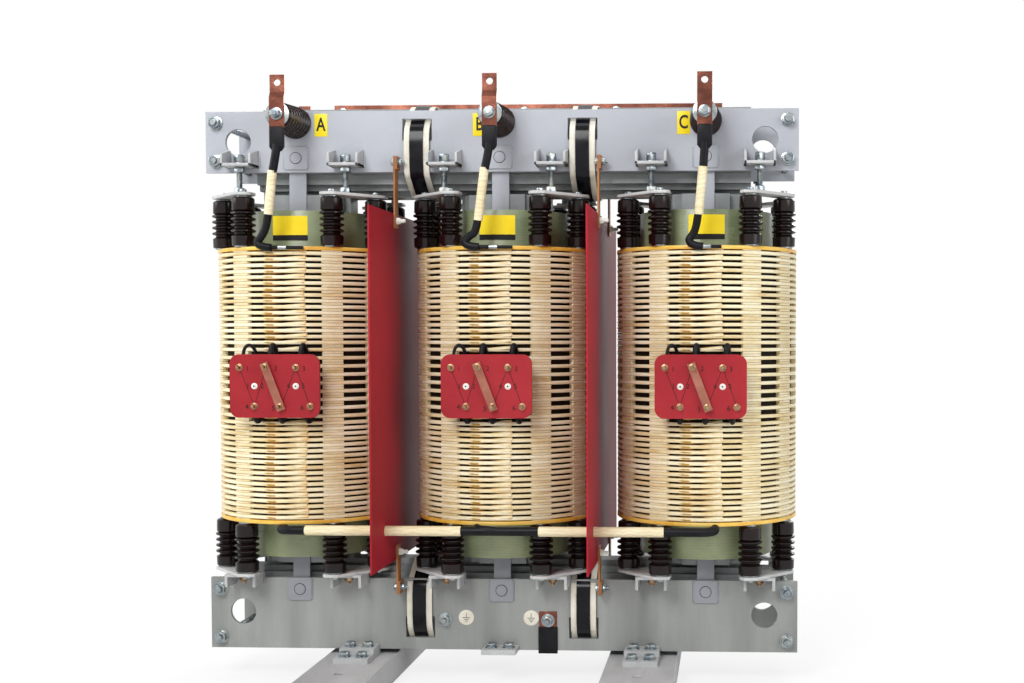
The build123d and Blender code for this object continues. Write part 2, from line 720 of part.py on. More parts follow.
def barrier_hangers():
    """Strips that carry each barrier from lugs on the clamps, and those lugs."""
    strips = []
    for side in BARRIER_X:
        face = BARRIER_X[side] + BARRIER_THICKNESS / 2
        lug_y = (-CLAMP_OUTER - HANGER_WIDTH - HANGER_THICKNESS, -CLAMP_OUTER)
        strip_y = (lug_y[0], -CLAMP_OUTER - HANGER_THICKNESS)
        for lug_bottom, strip_end in (
            (UPPER_LUG_Z, BARRIER_TOP - HANGER_LAP),
            (LOWER_LUG_Z, BARRIER_BOTTOM + HANGER_LAP),
        ):
            lug_z = (lug_bottom, lug_bottom + LUG_HEIGHT)
            strip_z = (min(strip_end, lug_z[0]), max(strip_end, lug_z[1]))
            strip = block((face, face + HANGER_THICKNESS), strip_y, strip_z)
            lug = block((face + HANGER_THICKNESS, face + 2 * HANGER_THICKNESS), lug_y, lug_z)
            strips += front_and_rear(strip) + front_and_rear(lug)
    return strips


# ---- base ----
def rail(x):
    """Channel laid web up, with a fixing hole near each end."""
    section = Rectangle(RAIL_WIDTH, RAIL_HEIGHT)
    section -= Pos(0, -RAIL_WALL) * Rectangle(RAIL_WIDTH - 2 * RAIL_WALL, RAIL_HEIGHT)
    body = extrude(Plane.XZ * section, RAIL_LENGTH / 2, both=True)
    body = Pos(x, 0, RAIL_HEIGHT / 2) * body
    for y in (-RAIL_HOLE_Y, RAIL_HOLE_Y):
        body -= Pos(x, y, RAIL_HEIGHT) * Cylinder(RAIL_HOLE_RADIUS, 4 * RAIL_WALL)
    return body


def foot_plates():
    """Plates between rail and clamp, a cleat on the clamp above each, and the middle cleats."""
    plates = []
    cleat_z = (LOWER_CLAMP_BOTTOM, LOWER_CLAMP_BOTTOM + CLEAT_THICKNESS)
    for x in (-RAIL_X, RAIL_X):
        plate_y = (-FOOT_REACH, -CLAMP_INNER)
        plate = block(about(x, FOOT_WIDTH), plate_y, (RAIL_HEIGHT, LOWER_CLAMP_BOTTOM))
        plates += front_and_rear(plate)
    for x in (-RAIL_X, 0, RAIL_X):
        cleat = block(about(x, FOOT_WIDTH), (-CLEAT_REACH, -CLAMP_OUTER), cleat_z)
        plates += front_and_rear(cleat)
    return plates


def foot_bolts():
    """Four bolts on each foot and two in each middle cleat."""
    bolts = []
    head = prism(FOOT_BOLT_RADIUS * 1.6, 6, FOOT_BOLT_RADIUS * 1.2)
    cleat_y = -(CLEAT_REACH + CLAMP_OUTER) / 2
    plate_y = -(FOOT_REACH + CLEAT_REACH) / 2
    for x in (-RAIL_X, 0, RAIL_X):
        for offset in (-FOOT_BOLT_X, FOOT_BOLT_X):
            top = LOWER_CLAMP_BOTTOM + CLEAT_THICKNESS
            bolts += front_and_rear(Pos(x + offset, cleat_y, top) * head)
            if x:
                bolts += front_and_rear(Pos(x + offset, plate_y, LOWER_CLAMP_BOTTOM) * head)
    return bolts


# ---- low voltage side ----
def lv_riser(x, foot_y, width, face_y, top):
    """Bent flat bar from the top of a low voltage winding, over the cylinder, and up."""
    shelf = CYLINDER_TOP + LV_BAR_THICKNESS
    points = [
        (foot_y, LV_TOP),
        (foot_y, shelf + LV_BAR_THICKNESS),
        (face_y, shelf + LV_BAR_THICKNESS),
        (face_y, top),
        (face_y + LV_BAR_THICKNESS, top),
        (face_y + LV_BAR_THICKNESS, shelf),
        (foot_y + LV_BAR_THICKNESS, shelf),
        (foot_y + LV_BAR_THICKNESS, LV_TOP),
    ]
    return Pos(x, 0, 0) * extrude(Plane.YZ * Polygon(*points, align=None), width / 2, both=True)


def lv_bars():
    """Three terminal bars, the neutral bar and the three bars that drop from it."""
    bars = []
    middle = (LV_INNER_RADIUS + CYLINDER_RADIUS - CYLINDER_WALL) / 2
    for x in PHASE_X.values():
        bar = lv_riser(x, middle - LV_BAR_THICKNESS / 2, LV_BAR_WIDTH, LV_BAR_Y, LV_BAR_TOP)
        hole = Rot(90, 0, 0) * Cylinder(LV_BAR_HOLE_RADIUS, 4 * LV_BAR_THICKNESS)
        bar -= Pos(x, LV_BAR_Y, LV_BAR_TOP - LV_BAR_HOLE_DROP) * hole
        bars.append(bar)
        drop_x = x - NEUTRAL_DROP_SHIFT
        foot_y = math.sqrt(middle ** 2 - NEUTRAL_DROP_SHIFT ** 2) - LV_BAR_THICKNESS / 2
        drop_face = CLAMP_OUTER + NEUTRAL_BLOCK + NEUTRAL_THICKNESS
        bars.append(lv_riser(drop_x, foot_y, NEUTRAL_DROP_WIDTH, drop_face, NEUTRAL_TOP))
    neutral_y = (CLAMP_OUTER + NEUTRAL_BLOCK, CLAMP_OUTER + NEUTRAL_BLOCK + NEUTRAL_THICKNESS)
    bars.append(block((NEUTRAL_LEFT, NEUTRAL_RIGHT), neutral_y, (NEUTRAL_TOP - NEUTRAL_HEIGHT, NEUTRAL_TOP)))
    return bars


def lv_supports():
    """Blocks behind the neutral bar and a short post behind each terminal bar."""
    supports = []
    for index in range(NEUTRAL_BLOCKS):
        x = NEUTRAL_FIRST_BLOCK + index * NEUTRAL_BLOCK_PITCH
        y_range = (CLAMP_OUTER, CLAMP_OUTER + NEUTRAL_BLOCK)
        z_range = (NEUTRAL_TOP - NEUTRAL_HEIGHT, UPPER_CLAMP_TOP)
        supports.append(block(about(x, 2 * NEUTRAL_BLOCK), y_range, z_range))
    for x in PHASE_X.values():
        post = prism(LV_POST_RADIUS, INSULATOR_SIDES, LV_BAR_Y - CLAMP_OUTER)
        supports.append(Pos(x, CLAMP_OUTER, LV_POST_Z) * Rot(-90, 0, 0) * post)
    return supports


# ---- earth ----
def earth_terminals():
    """Two earth studs on the lower front clamp and the strap under the right one."""
    pieces = []
    strap_y = (-CLAMP_OUTER - EARTH_STRAP_THICKNESS, -CLAMP_OUTER)
    strap_z = (LOWER_CLAMP_BOTTOM - EARTH_STRAP_DROP, EARTH_Z + EARTH_STRAP_WIDTH / 2)
    strap = block(about(EARTH_STUD_X[1], EARTH_STRAP_WIDTH), strap_y, strap_z)
    for x in EARTH_STUD_X:
        stud = Pos(x, -CLAMP_OUTER, EARTH_Z) * Rot(90, 0, 0) * prism(EARTH_STUD_RADIUS, 6, EARTH_STUD_LENGTH)
        strap -= stud
        pieces.append(stud)
    return pieces + [strap]


def build():
    """Every node by name, each a solid or a group of like solids."""
    nodes = {"lower_yoke": yoke(LOWER_YOKE_Z), "upper_yoke": yoke(UPPER_YOKE_Z)}
    nodes.update(clamps())
    front_plates = tie_plates()
    nodes["front_tie_plates"] = front_plates
    nodes["rear_tie_plates"] = [plate.mirror(Plane.XZ) for plate in front_plates]
    nodes["tie_plate_pads"] = tie_plate_pads()
    nodes["clamp_boards"] = clamp_boards()
    nodes["clamp_rods"] = clamp_rods()
    nodes["yoke_bands"], nodes["band_liners"] = yoke_bands()
    nodes["upper_support_insulators"] = support_insulators(HV_TOP)
    nodes["lower_support_insulators"] = support_insulators(LOWER_PLATE_TOP)
    nodes["upper_pressing_plates"] = pressing_plates(UPPER_PLATE_BOTTOM)
    nodes["lower_pressing_plates"] = pressing_plates(LOWER_PLATE_BOTTOM)
    nodes["upper_brackets"] = upper_brackets()
    nodes["lower_brackets"] = lower_brackets()
    nodes["pressing_screws"] = pressing_studs() + bracket_nuts()
    nodes["post_insulators"] = post_insulators()
    nodes["terminal_bolts"] = terminal_bolts()
    nodes["star_link"] = star_link()
    nodes["tap_studs"] = tap_studs()
    nodes["tap_links"] = tap_links(nodes["tap_studs"])
    nodes["tap_board_spacers"] = []
    nodes["tap_loops"] = []
    for phase in PHASES:
        nodes[f"core_limb_{phase}"] = core_limb(phase)
        nodes[f"lv_winding_{phase}"] = lv_winding(phase)
        nodes[f"insulating_cylinder_{phase}"] = insulating_cylinder(phase)
        nodes[f"hv_winding_{phase}"] = hv_winding(phase)
        nodes[f"terminal_bar_{phase}"] = terminal_bar(phase)
        nodes[f"hv_lead_{phase}"] = hv_lead(phase)
        nodes[f"tap_board_{phase}"] = tap_board(phase)
        nodes["tap_board_spacers"] += tap_board_spacers(phase)
        nodes["tap_loops"] += tap_loops(phase)
    for side in BARRIER_X:
        nodes[f"{side}_barrier"] = barrier(side)
    nodes["barrier_hangers"] = barrier_hangers()
    nodes["left_rail"] = rail(-RAIL_X)
    nodes["right_rail"] = rail(RAIL_X)
    nodes["foot_plates"] = foot_plates()
    nodes["foot_bolts"] = foot_bolts()
    nodes["lv_bars"] = lv_bars()
    nodes["lv_supports"] = lv_supports()
    nodes["earth_terminals"] = earth_terminals()
    return nodes


if __name__ == "__main__":
    os.makedirs("parts", exist_ok=True)
    for node, solids in build().items():
        write(node, solids)
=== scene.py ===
import bpy
import bmesh
import json
import math
from mathutils import Matrix, Vector

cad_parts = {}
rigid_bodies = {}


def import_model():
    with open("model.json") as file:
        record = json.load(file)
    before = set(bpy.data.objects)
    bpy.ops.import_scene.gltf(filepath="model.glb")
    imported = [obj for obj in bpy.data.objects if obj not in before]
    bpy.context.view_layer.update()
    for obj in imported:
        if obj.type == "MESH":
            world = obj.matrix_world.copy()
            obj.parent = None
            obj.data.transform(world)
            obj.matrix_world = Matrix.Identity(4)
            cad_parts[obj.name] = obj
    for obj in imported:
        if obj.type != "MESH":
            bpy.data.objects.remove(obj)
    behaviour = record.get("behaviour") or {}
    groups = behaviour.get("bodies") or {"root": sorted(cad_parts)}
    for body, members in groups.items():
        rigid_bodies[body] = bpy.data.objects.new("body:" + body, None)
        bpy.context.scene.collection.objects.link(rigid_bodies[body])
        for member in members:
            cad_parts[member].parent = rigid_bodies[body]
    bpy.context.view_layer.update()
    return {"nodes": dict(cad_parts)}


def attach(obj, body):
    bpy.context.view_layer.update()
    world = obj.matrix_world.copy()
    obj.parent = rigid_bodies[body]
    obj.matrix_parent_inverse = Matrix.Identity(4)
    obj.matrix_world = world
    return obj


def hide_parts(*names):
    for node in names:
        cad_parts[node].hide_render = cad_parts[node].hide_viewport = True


# Open dry type transformer, dressed over its frame. Metres, +Z up, high voltage side towards -Y.

bpy.ops.object.select_all(action="SELECT")
bpy.ops.object.delete()
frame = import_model()
nodes = frame["nodes"]
print("frame loaded,", len(nodes), "nodes")

phases = {"a": -0.570, "b": 0.0, "c": 0.570}
clampFace = 0.1297
quarter = math.pi / 2
tinyGap = 0.00002  # points nearer than this are one


# selecting and placing

def freshStart():
    if bpy.context.mode != "OBJECT":
        bpy.ops.object.mode_set(mode="OBJECT")
    bpy.ops.object.select_all(action="DESELECT")


def activate(piece):
    freshStart()
    piece.select_set(True)
    bpy.context.view_layer.objects.active = piece


def rename(name):
    piece = bpy.context.object
    piece.name = name
    piece.data.name = name
    return piece


def settle(piece):  # puts an object's place into its mesh
    activate(piece)
    bpy.ops.object.transform_apply(location=True, rotation=True, scale=True)
    return piece


def editAll():
    bpy.ops.object.mode_set(mode="EDIT")
    selectAll()


def leaveEdit():
    bpy.ops.object.mode_set(mode="OBJECT")


def selectEdges(test):  # in edit mode, by the two ends of each edge
    bpy.ops.mesh.select_mode(type="EDGE")
    bpy.ops.mesh.select_all(action="DESELECT")
    mesh = bmesh.from_edit_mesh(bpy.context.object.data)
    for edge in mesh.edges:
        if test(edge.verts[0].co, edge.verts[1].co):
            edge.select_set(True)
    bmesh.update_edit_mesh(bpy.context.object.data)


def selectFaces(test):  # in edit mode, by the centre and normal of each face
    bpy.ops.mesh.select_mode(type="FACE")
    bpy.ops.mesh.select_all(action="DESELECT")
    mesh = bmesh.from_edit_mesh(bpy.context.object.data)
    for face in mesh.faces:
        if test(face.calc_center_median(), face.normal):
            face.select_set(True)
    bmesh.update_edit_mesh(bpy.context.object.data)


def selectAll():
    bpy.ops.mesh.select_all(action="SELECT")


def pullOut(step, scale=None, centre=(0, 0, 0)):  # extrudes what is selected, then scales it about a centre
    bpy.ops.mesh.extrude_region_move(TRANSFORM_OT_translate={"value": step})
    if scale:
        bpy.ops.transform.resize(value=scale, center_override=centre)


def closeMesh(gap=0.0):  # joins points nearer than the gap, turns the faces outward and leaves edit mode
    selectAll()
    if gap:
        bpy.ops.mesh.remove_doubles(threshold=gap)
    bpy.ops.mesh.normals_make_consistent(inside=False)
    leaveEdit()


def smooth(piece, degrees=35):
    activate(piece)
    bpy.ops.object.shade_smooth_by_angle(angle=math.radians(degrees))
    return piece


def applyModifiers(piece):
    activate(piece)
    for modifier in list(piece.modifiers):
        bpy.ops.object.modifier_apply(modifier=modifier.name)
    return piece


def joinPieces(name, pieces):
    freshStart()
    for piece in pieces:
        piece.select_set(True)
    bpy.context.view_layer.objects.active = pieces[0]
    bpy.ops.object.join()
    return rename(name)


def copyTo(piece, name, place):  # a copy with its own mesh, moved inside that mesh
    other = piece.copy()
    other.data = piece.data.copy()
    other.data.transform(place)
    if place.determinant() < 0:
        other.data.flip_normals()
    other.name = name
    other.data.name = name
    bpy.context.scene.collection.objects.link(other)
    return other


def dropPiece(piece):
    bpy.data.objects.remove(piece)


def copyMany(piece, name, places, keep=False):  # one joined piece from a copy at each place
    copies = [copyTo(piece, name + "Part", place) for place in places]
    if not keep:
        dropPiece(piece)
    return joinPieces(name, copies)


def at(x, y, z):
    return Matrix.Translation((x, y, z))


def turn(angle, axis):
    return Matrix.Rotation(angle, 4, axis)


towardsFront = turn(quarter, "X")  # +Z of a piece comes to point to -Y
towardsRear = turn(-quarter, "X")
towardsRight = turn(quarter, "Y")
towardsLeft = turn(-quarter, "Y")
mirrorRear = Matrix.Scale(-1, 4, (0, 1, 0))
upsideDown = turn(math.pi, "X")


def frontAndRear(places):
    return places + [mirrorRear @ place for place in places]


def onFace(x, z):  # standing on the front clamp's face
    return at(x, -clampFace, z) @ towardsFront


def finishPiece(piece, finish, replaced=()):
    piece.data.materials.clear()
    piece.data.materials.append(finish)
    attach(piece, "root")
    if replaced:
        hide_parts(*replaced)
    return piece


# shapes that many pieces start from

def addBlock(name, low, high, edge=0.0008, rounds=2):
    freshStart()
    middle = [(a + b) / 2 for a, b in zip(low, high)]
    bpy.ops.mesh.primitive_cube_add(size=1, location=middle)
    piece = rename(name)
    piece.scale = [b - a for a, b in zip(low, high)]
    settle(piece)
    editAll()
    bpy.ops.mesh.bevel(offset=edge, segments=rounds, affect="EDGES")
    leaveEdit()
    return smooth(piece)


def addRod(name, radius, bottom, top, sides=24, edge=0.001):
    freshStart()
    bpy.ops.mesh.primitive_cylinder_add(
        vertices=sides, radius=radius, depth=top - bottom, location=(0, 0, (bottom + top) / 2))
    piece = settle(rename(name))
    bpy.ops.object.mode_set(mode="EDIT")
    selectEdges(lambda one, two: abs(one.z - two.z) < 1e-6)
    bpy.ops.mesh.bevel(offset=edge, segments=2, affect="EDGES")
    leaveEdit()
    return smooth(piece)


def addTurned(name, stations, sides):  # (height, radius) pairs from foot to head, pulled up ring by ring
    freshStart()
    foot, radius = stations[0]
    bpy.ops.mesh.primitive_circle_add(vertices=sides, radius=radius, fill_type="NGON", location=(0, 0, foot))
    piece = settle(rename(name))
    editAll()
    for (low, before), (high, after) in zip(stations, stations[1:]):
        grow = after / before
        pullOut((0, 0, high - low), (grow, grow, 1), (0, 0, high))
    closeMesh()
    return smooth(piece, 40)


def addTube(name, points, radius, roundness=6, steps=8):
    curve = bpy.data.curves.new(name, "CURVE")
    curve.dimensions = "3D"
    curve.bevel_depth = radius
    curve.bevel_resolution = roundness
    curve.resolution_u = steps
    curve.use_fill_caps = True
    spline = curve.splines.new("NURBS")
    spline.points.add(len(points) - 1)
    for knot, point in zip(spline.points, points):
        knot.co = (*point, 1)
    spline.order_u = 3
    spline.use_endpoint_u = True
    piece = bpy.data.objects.new(name, curve)
    bpy.context.scene.collection.objects.link(piece)
    activate(piece)
    bpy.ops.object.convert(target="MESH")
    piece = rename(name)
    editAll()
    closeMesh(tinyGap)
    return smooth(piece, 40)


def addRing(name, outer, inner, bottom, top, steps=96, edge=0.002):  # section laid down, then spun round Z
    freshStart()
    bpy.ops.mesh.primitive_plane_add(
        size=1, location=((outer + inner) / 2, 0, (bottom + top) / 2), rotation=(quarter, 0, 0))
    piece = rename(name)
    piece.scale = (outer - inner, top - bottom, 1)
    settle(piece)
    editAll()
    bpy.ops.mesh.bevel(offset=edge, segments=2, affect="VERTICES")
    bpy.ops.mesh.delete(type="ONLY_FACE")
    selectAll()
    bpy.ops.mesh.spin(steps=steps, angle=2 * math.pi, center=(0, 0, 0), axis=(0, 0, 1))
    closeMesh(tinyGap)
    return smooth(piece, 40)


def curlRound(piece, radius):  # a straight piece along X is laid round Z; its Y is the depth into the coil
    for vertex in piece.data.vertices:
        angle = vertex.co.x / radius
        reach = radius - vertex.co.y
        vertex.co = (reach * math.sin(angle), -reach * math.cos(angle), vertex.co.z)
    piece.data.update()
    return piece


def addWord(name, text, size, thickness, bold=0.0):
    freshStart()
    bpy.ops.object.text_add()
    letter = bpy.context.object
    letter.data.body = text
    letter.data.size = size
    letter.data.extrude = thickness
    letter.data.offset = bold
    letter.data.align_x = "CENTER"
    letter.data.align_y = "CENTER"
    letter.data.resolution_u = 4
    bpy.ops.object.convert(target="MESH")
    return rename(name)


# finishes

def feed(tree, node, values):  # each value is a number, a colour or another node's output
    for key, value in values.items():
        if isinstance(value, bpy.types.NodeSocket):
            tree.links.new(value, node.inputs[key])
        else:
            node.inputs[key].default_value = value
    return node


def addNode(tree, kind, values=None, **settings):
    node = tree.nodes.new("ShaderNode" + kind)
    for key, value in settings.items():
        setattr(node, key, value)
    return feed(tree, node, values or {})


def addMath(tree, operation, *values):
    return addNode(tree, "Math", dict(enumerate(values)), operation=operation).outputs["Value"]


def addRange(tree, value, low, high, to=(0.0, 1.0), **settings):  # maps low..high onto another range
    limits = {"Value": value, "From Min": low, "From Max": high, "To Min": to[0], "To Max": to[1]}
    return addNode(tree, "MapRange", limits, **settings).outputs["Result"]


def addBump(tree, shader, height, strength):
    bump = addNode(tree, "Bump", {"Height": height, "Strength": strength, "Distance": 0.001})
    feed(tree, shader, {"Normal": bump.outputs["Normal"]})


def addNoise(tree, place, scale, detail=3.0):
    if not isinstance(scale, tuple):
        scale = (scale,) * 3
    mapping = addNode(tree, "Mapping", {"Vector": place, "Scale": scale})
    return addNode(tree, "TexNoise", {
        "Vector": mapping.outputs["Vector"], "Scale": 1.0, "Detail": detail, "Roughness": 0.6}).outputs["Fac"]


def addRamp(tree, factor, tones):
    ramp = addNode(tree, "ValToRGB", {"Fac": factor})
    for stop in tones[2:]:
        ramp.color_ramp.elements.new(0.5)
    for stop, (spot, colour) in zip(ramp.color_ramp.elements, tones):
        stop.position = spot
        stop.color = (*colour, 1)
    return ramp.outputs["Color"]


def darken(tree, colour, factor, steps, amount=1.0):  # grey steps over a factor, multiplied into a colour
    shade = addRamp(tree, factor, [
        (spot, grey if isinstance(grey, tuple) else (grey,) * 3) for spot, grey in steps])
    return addNode(tree, "Mix", {"Factor": amount, "A": colour, "B": shade}, data_type="RGBA",
                   blend_type="MULTIPLY").outputs["Result"]


def startFinish(name):
    material = bpy.data.materials.new(name)
    material.use_nodes = True
    tree = material.node_tree
    return material, tree, tree.nodes["Principled BSDF"], addNode(tree, "TexCoord").outputs["Object"]


def makeFinish(name, tones, blotch, grain, rough, bump,
               shine=0.5, metal=0.0, speck=None, lines=None, fade=None):
    # blotch and grain are patterns per metre, in all directions or along X, Y and Z
    material, tree, shader, place = startFinish(name)
    if len(tones) == 2:
        tones = [(0.3, tones[0]), (0.7, tones[1])]
    blotches = addNoise(tree, place, blotch, 4.0)
    colour = addRamp(tree, blotches, tones)
    height = grains = addNoise(tree, place, grain)
    if speck:
        colour = darken(tree, colour, grains, [(0.35, speck), (0.65, 1)])
    if lines:
        wave = addNode(tree, "TexWave", {
            "Vector": place, "Scale": lines["scale"], "Distortion": lines["wander"], "Detail": 2.0,
            "Detail Scale": lines["detail"]}, bands_direction=lines["along"]).outputs["Fac"]
        steps = [(0.0, lines["depth"]), (lines["width"], 1)]
        colour = darken(tree, colour, wave, steps)
        height = darken(tree, grains, wave, steps, 0.8)
    if fade:  # darker from one side to the other, in metres along an axis
        sides = addNode(tree, "SeparateXYZ", {"Vector": place}).outputs[fade["along"]]
        depth = addRange(tree, sides, fade["from"], fade["to"], interpolation_type="SMOOTHSTEP")
        colour = darken(tree, colour, depth, [(0.0, 1), (1.0, fade["share"])])
    feed(tree, shader, {
        "Base Color": colour, "Roughness": addRange(tree, blotches, 0.3, 0.7, rough), "Metallic": metal,
        "Specular IOR Level": shine})
    addBump(tree, shader, height, bump)
    return material


# name, tones, blotch, grain, rough from and to, bump
greyPaint = makeFinish("greyPaint", [(0.355, 0.37, 0.405), (0.46, 0.48, 0.525)], (2.2, 2.2, 3.0), 260,
    (0.4, 0.52), 0.12, shine=0.4, speck=0.96)
# the same grey, darker downwards: painted shade together with a darker primer tone
padPaintShaded = makeFinish("padPaintShaded", [(0.355, 0.37, 0.405), (0.46, 0.48, 0.525)], (2.2, 2.2, 3.0), 260,
    (0.4, 0.52), 0.12, shine=0.4, speck=0.96, fade={"along": "Z", "from": 1.2, "to": 0.4, "share": 0.68})
lowerPaint = makeFinish("lowerPaint", [(0.22, 0.23, 0.22), (0.335, 0.345, 0.33)], (9, 9, 1.3), 260,
    (0.38, 0.5), 0.12, shine=0.4, speck=0.95)
bracketPaint = makeFinish("bracketPaint", [(0.4, 0.41, 0.41), (0.54, 0.55, 0.55)], 12, 240, (0.4, 0.5), 0.15,
    shine=0.4, speck=0.94)
corePaint = makeFinish("corePaint", [(0.24, 0.26, 0.262), (0.35, 0.37, 0.372)], 3, (40, 900, 40), (0.45, 0.6),
    0.3, shine=0.3, speck=0.9,
    lines={"along": "Y", "scale": 55.0, "wander": 0.3, "detail": 1.0, "depth": 0.72, "width": 0.35})
railPaint = makeFinish("railPaint", [(0.36, 0.36, 0.365), (0.54, 0.54, 0.545)], (6, 3, 6), 190, (0.4, 0.6),
    0.2, shine=0.35, speck=0.88)
paleSteel = makeFinish("paleSteel", [(0.45, 0.46, 0.455), (0.62, 0.62, 0.61)], 9, 220, (0.35, 0.5), 0.15,
    shine=0.4, speck=0.9)
zinc = makeFinish("zinc", [(0.3, (0.15, 0.185, 0.21)), (0.5, (0.3, 0.34, 0.36)), (0.7, (0.44, 0.44, 0.38))],
    45, 500, (0.22, 0.36), 0.1, metal=1.0)
brass = makeFinish("brass", [(0.24, 0.13, 0.07), (0.48, 0.33, 0.19)], 60, 500, (0.22, 0.36), 0.1, metal=1.0)
copper = makeFinish("copper",
    [(0.25, (0.095, 0.033, 0.024)), (0.5, (0.19, 0.065, 0.043)), (0.75, (0.34, 0.128, 0.083))], (13, 13, 16),
    (320, 320, 60), (0.2, 0.32), 0.12, metal=0.9, speck=0.88)
linkCopper = makeFinish("linkCopper", [(0.27, 0.095, 0.065), (0.46, 0.185, 0.13)], (13, 13, 16),
    (320, 320, 60), (0.28, 0.4), 0.12, metal=0.8, speck=0.9)
porcelain = makeFinish("porcelain", [(0.0045, 0.0026, 0.0028), (0.011, 0.0042, 0.0038)], 16, 90, (0.18, 0.26),
    0.03, shine=0.3)
brownPost = makeFinish("brownPost", [(0.008, 0.003, 0.003), (0.02, 0.0055, 0.005)], 16, 90, (0.16, 0.24),
    0.03, shine=0.26)
discPaper = makeFinish("discPaper",
    [(0.28, (0.68, 0.49, 0.22)), (0.42, (0.83, 0.7, 0.42)), (0.62, (0.93, 0.86, 0.63))], (6, 6, 30),
    (120, 120, 420), (0.36, 0.55), 0.25, shine=0.3, speck=0.88)
spacerBoard = makeFinish("spacerBoard",
    [(0.28, (0.64, 0.45, 0.19)), (0.46, (0.79, 0.65, 0.38)), (0.68, (0.91, 0.82, 0.58))], (10, 10, 46),
    (90, 90, 500), (0.4, 0.6), 0.25, shine=0.3, speck=0.86)
# painted shade: near black, for the depth of the gaps between the discs and of the groove round each pad pin
gapShade = makeFinish("gapShade", [(0.006, 0.005, 0.004), (0.018, 0.014, 0.009)], (14, 14, 60),
    (90, 90, 500), (0.6, 0.8), 0.2, shine=0.1)
ringResin = makeFinish("ringResin",
    [(0.25, (0.66, 0.3, 0.035)), (0.5, (0.82, 0.5, 0.075)), (0.75, (0.88, 0.66, 0.2))], 9, 140, (0.2, 0.4),
    0.15, shine=0.5)
greenGlass = makeFinish("greenGlass",
    [(0.25, (0.15, 0.185, 0.1)), (0.5, (0.23, 0.268, 0.15)), (0.75, (0.32, 0.352, 0.19))], (5, 5, 9),
    (60, 60, 700), (0.24, 0.36), 0.15, shine=0.45, speck=0.9,
    lines={"along": "Z", "scale": 40.0, "wander": 3.4, "detail": 1.6, "depth": 0.93, "width": 0.6})
redBoard = makeFinish("redBoard", [(0.29, 0.012, 0.018), (0.4, 0.022, 0.031)], 4, 240, (0.36, 0.46), 0.12,
    shine=0.25, speck=0.9)
# darker towards the rear: painted shade
redSheetShaded = makeFinish("redSheetShaded", [(0.3, 0.013, 0.022), (0.46, 0.028, 0.044)], (1.6, 1.6, 2.2), 200,
    (0.45, 0.55), 0.12, shine=0.08, speck=0.93, fade={"along": "Y", "from": -0.36, "to": 0.1, "share": 0.34})
blackSleeve = makeFinish("blackSleeve", [(0.0035, 0.0035, 0.005), (0.012, 0.012, 0.015)], 24, 160,
    (0.34, 0.5), 0.2, shine=0.14)
bandBlack = makeFinish("bandBlack", [(0.0025, 0.0025, 0.004), (0.008, 0.008, 0.011)], (12, 12, 18),
    (200, 60, 60), (0.14, 0.26), 0.08, shine=0.18)
linerCream = makeFinish("linerCream", [(0.66, 0.61, 0.49), (0.82, 0.79, 0.7)], (10, 10, 14), 180, (0.45, 0.6),
    0.2, shine=0.3, speck=0.93)
creamSleeve = makeFinish("creamSleeve", [(0.72, 0.61, 0.35), (0.9, 0.82, 0.58)], (9, 30, 30), (30, 160, 160),
    (0.35, 0.5), 0.2, shine=0.35,
    lines={"along": "Z", "scale": 26.0, "wander": 9.0, "detail": 0.8, "depth": 0.86, "width": 0.5})
hangerBrown = makeFinish("hangerBrown", [(0.24, 0.085, 0.028), (0.42, 0.18, 0.06)], (14, 14, 8),
    (120, 120, 30), (0.4, 0.55), 0.2, shine=0.3, speck=0.88)
nylonWhite = makeFinish("nylonWhite", [(0.7, 0.69, 0.62), (0.82, 0.81, 0.77)], 40, 300, (0.35, 0.45), 0.1,
    shine=0.35)
signYellow = makeFinish("signYellow", [(0.84, 0.62, 0.012), (0.91, 0.72, 0.022)], 14, 200, (0.36, 0.45), 0.05,
    shine=0.25)
signBlack = makeFinish("signBlack", [(0.004, 0.004, 0.004), (0.01, 0.0095, 0.009)], 30, 200, (0.4, 0.5), 0.05,
    shine=0.2)
foilEdge = makeFinish("foilEdge", [(0.28, 0.13, 0.075), (0.46, 0.25, 0.15)], (18, 18, 6), (500, 500, 90),
    (0.35, 0.55), 0.3, metal=0.5, speck=0.8)


def makeWrapFinish():  # tape round the crossovers: brown at its left end, pale at its right one
    material, tree, shader, place = startFinish("wrapTape")
    along = addNode(tree, "SeparateXYZ", {"Vector": place}).outputs["X"]
    local = addMath(tree, "WRAP", along, phases["c"] / 2, phases["a"] / 2)  # about the middle of one phase
    sway = addRange(tree, addNoise(tree, place, (26, 26, 60), 4.0), 0.3, 0.7, (-0.014, 0.014))
    across = addRange(tree, addMath(tree, "ADD", local, sway), -0.066, 0.062)
    colour = addRamp(tree, across, [
        (0.0, (0.54, 0.37, 0.11)), (0.22, (0.52, 0.30, 0.065)), (0.42, (0.48, 0.20, 0.03)),
        (0.52, (0.84, 0.64, 0.33)), (0.80, (0.95, 0.87, 0.64)), (1.0, (0.84, 0.62, 0.29))])
    weave = addNoise(tree, place, (420, 120, 160), 2.0)
    colour = darken(tree, colour, weave, [(0.3, (0.84, 0.82, 0.78)), (0.7, 1)])
    feed(tree, shader, {"Base Color": colour, "Roughness": 0.4, "Specular IOR Level": 0.35})
    addBump(tree, shader, weave, 0.3)
    return material


wrapTape = makeWrapFinish()
print("finishes made")


# steel, boards and bars that keep their frame shapes

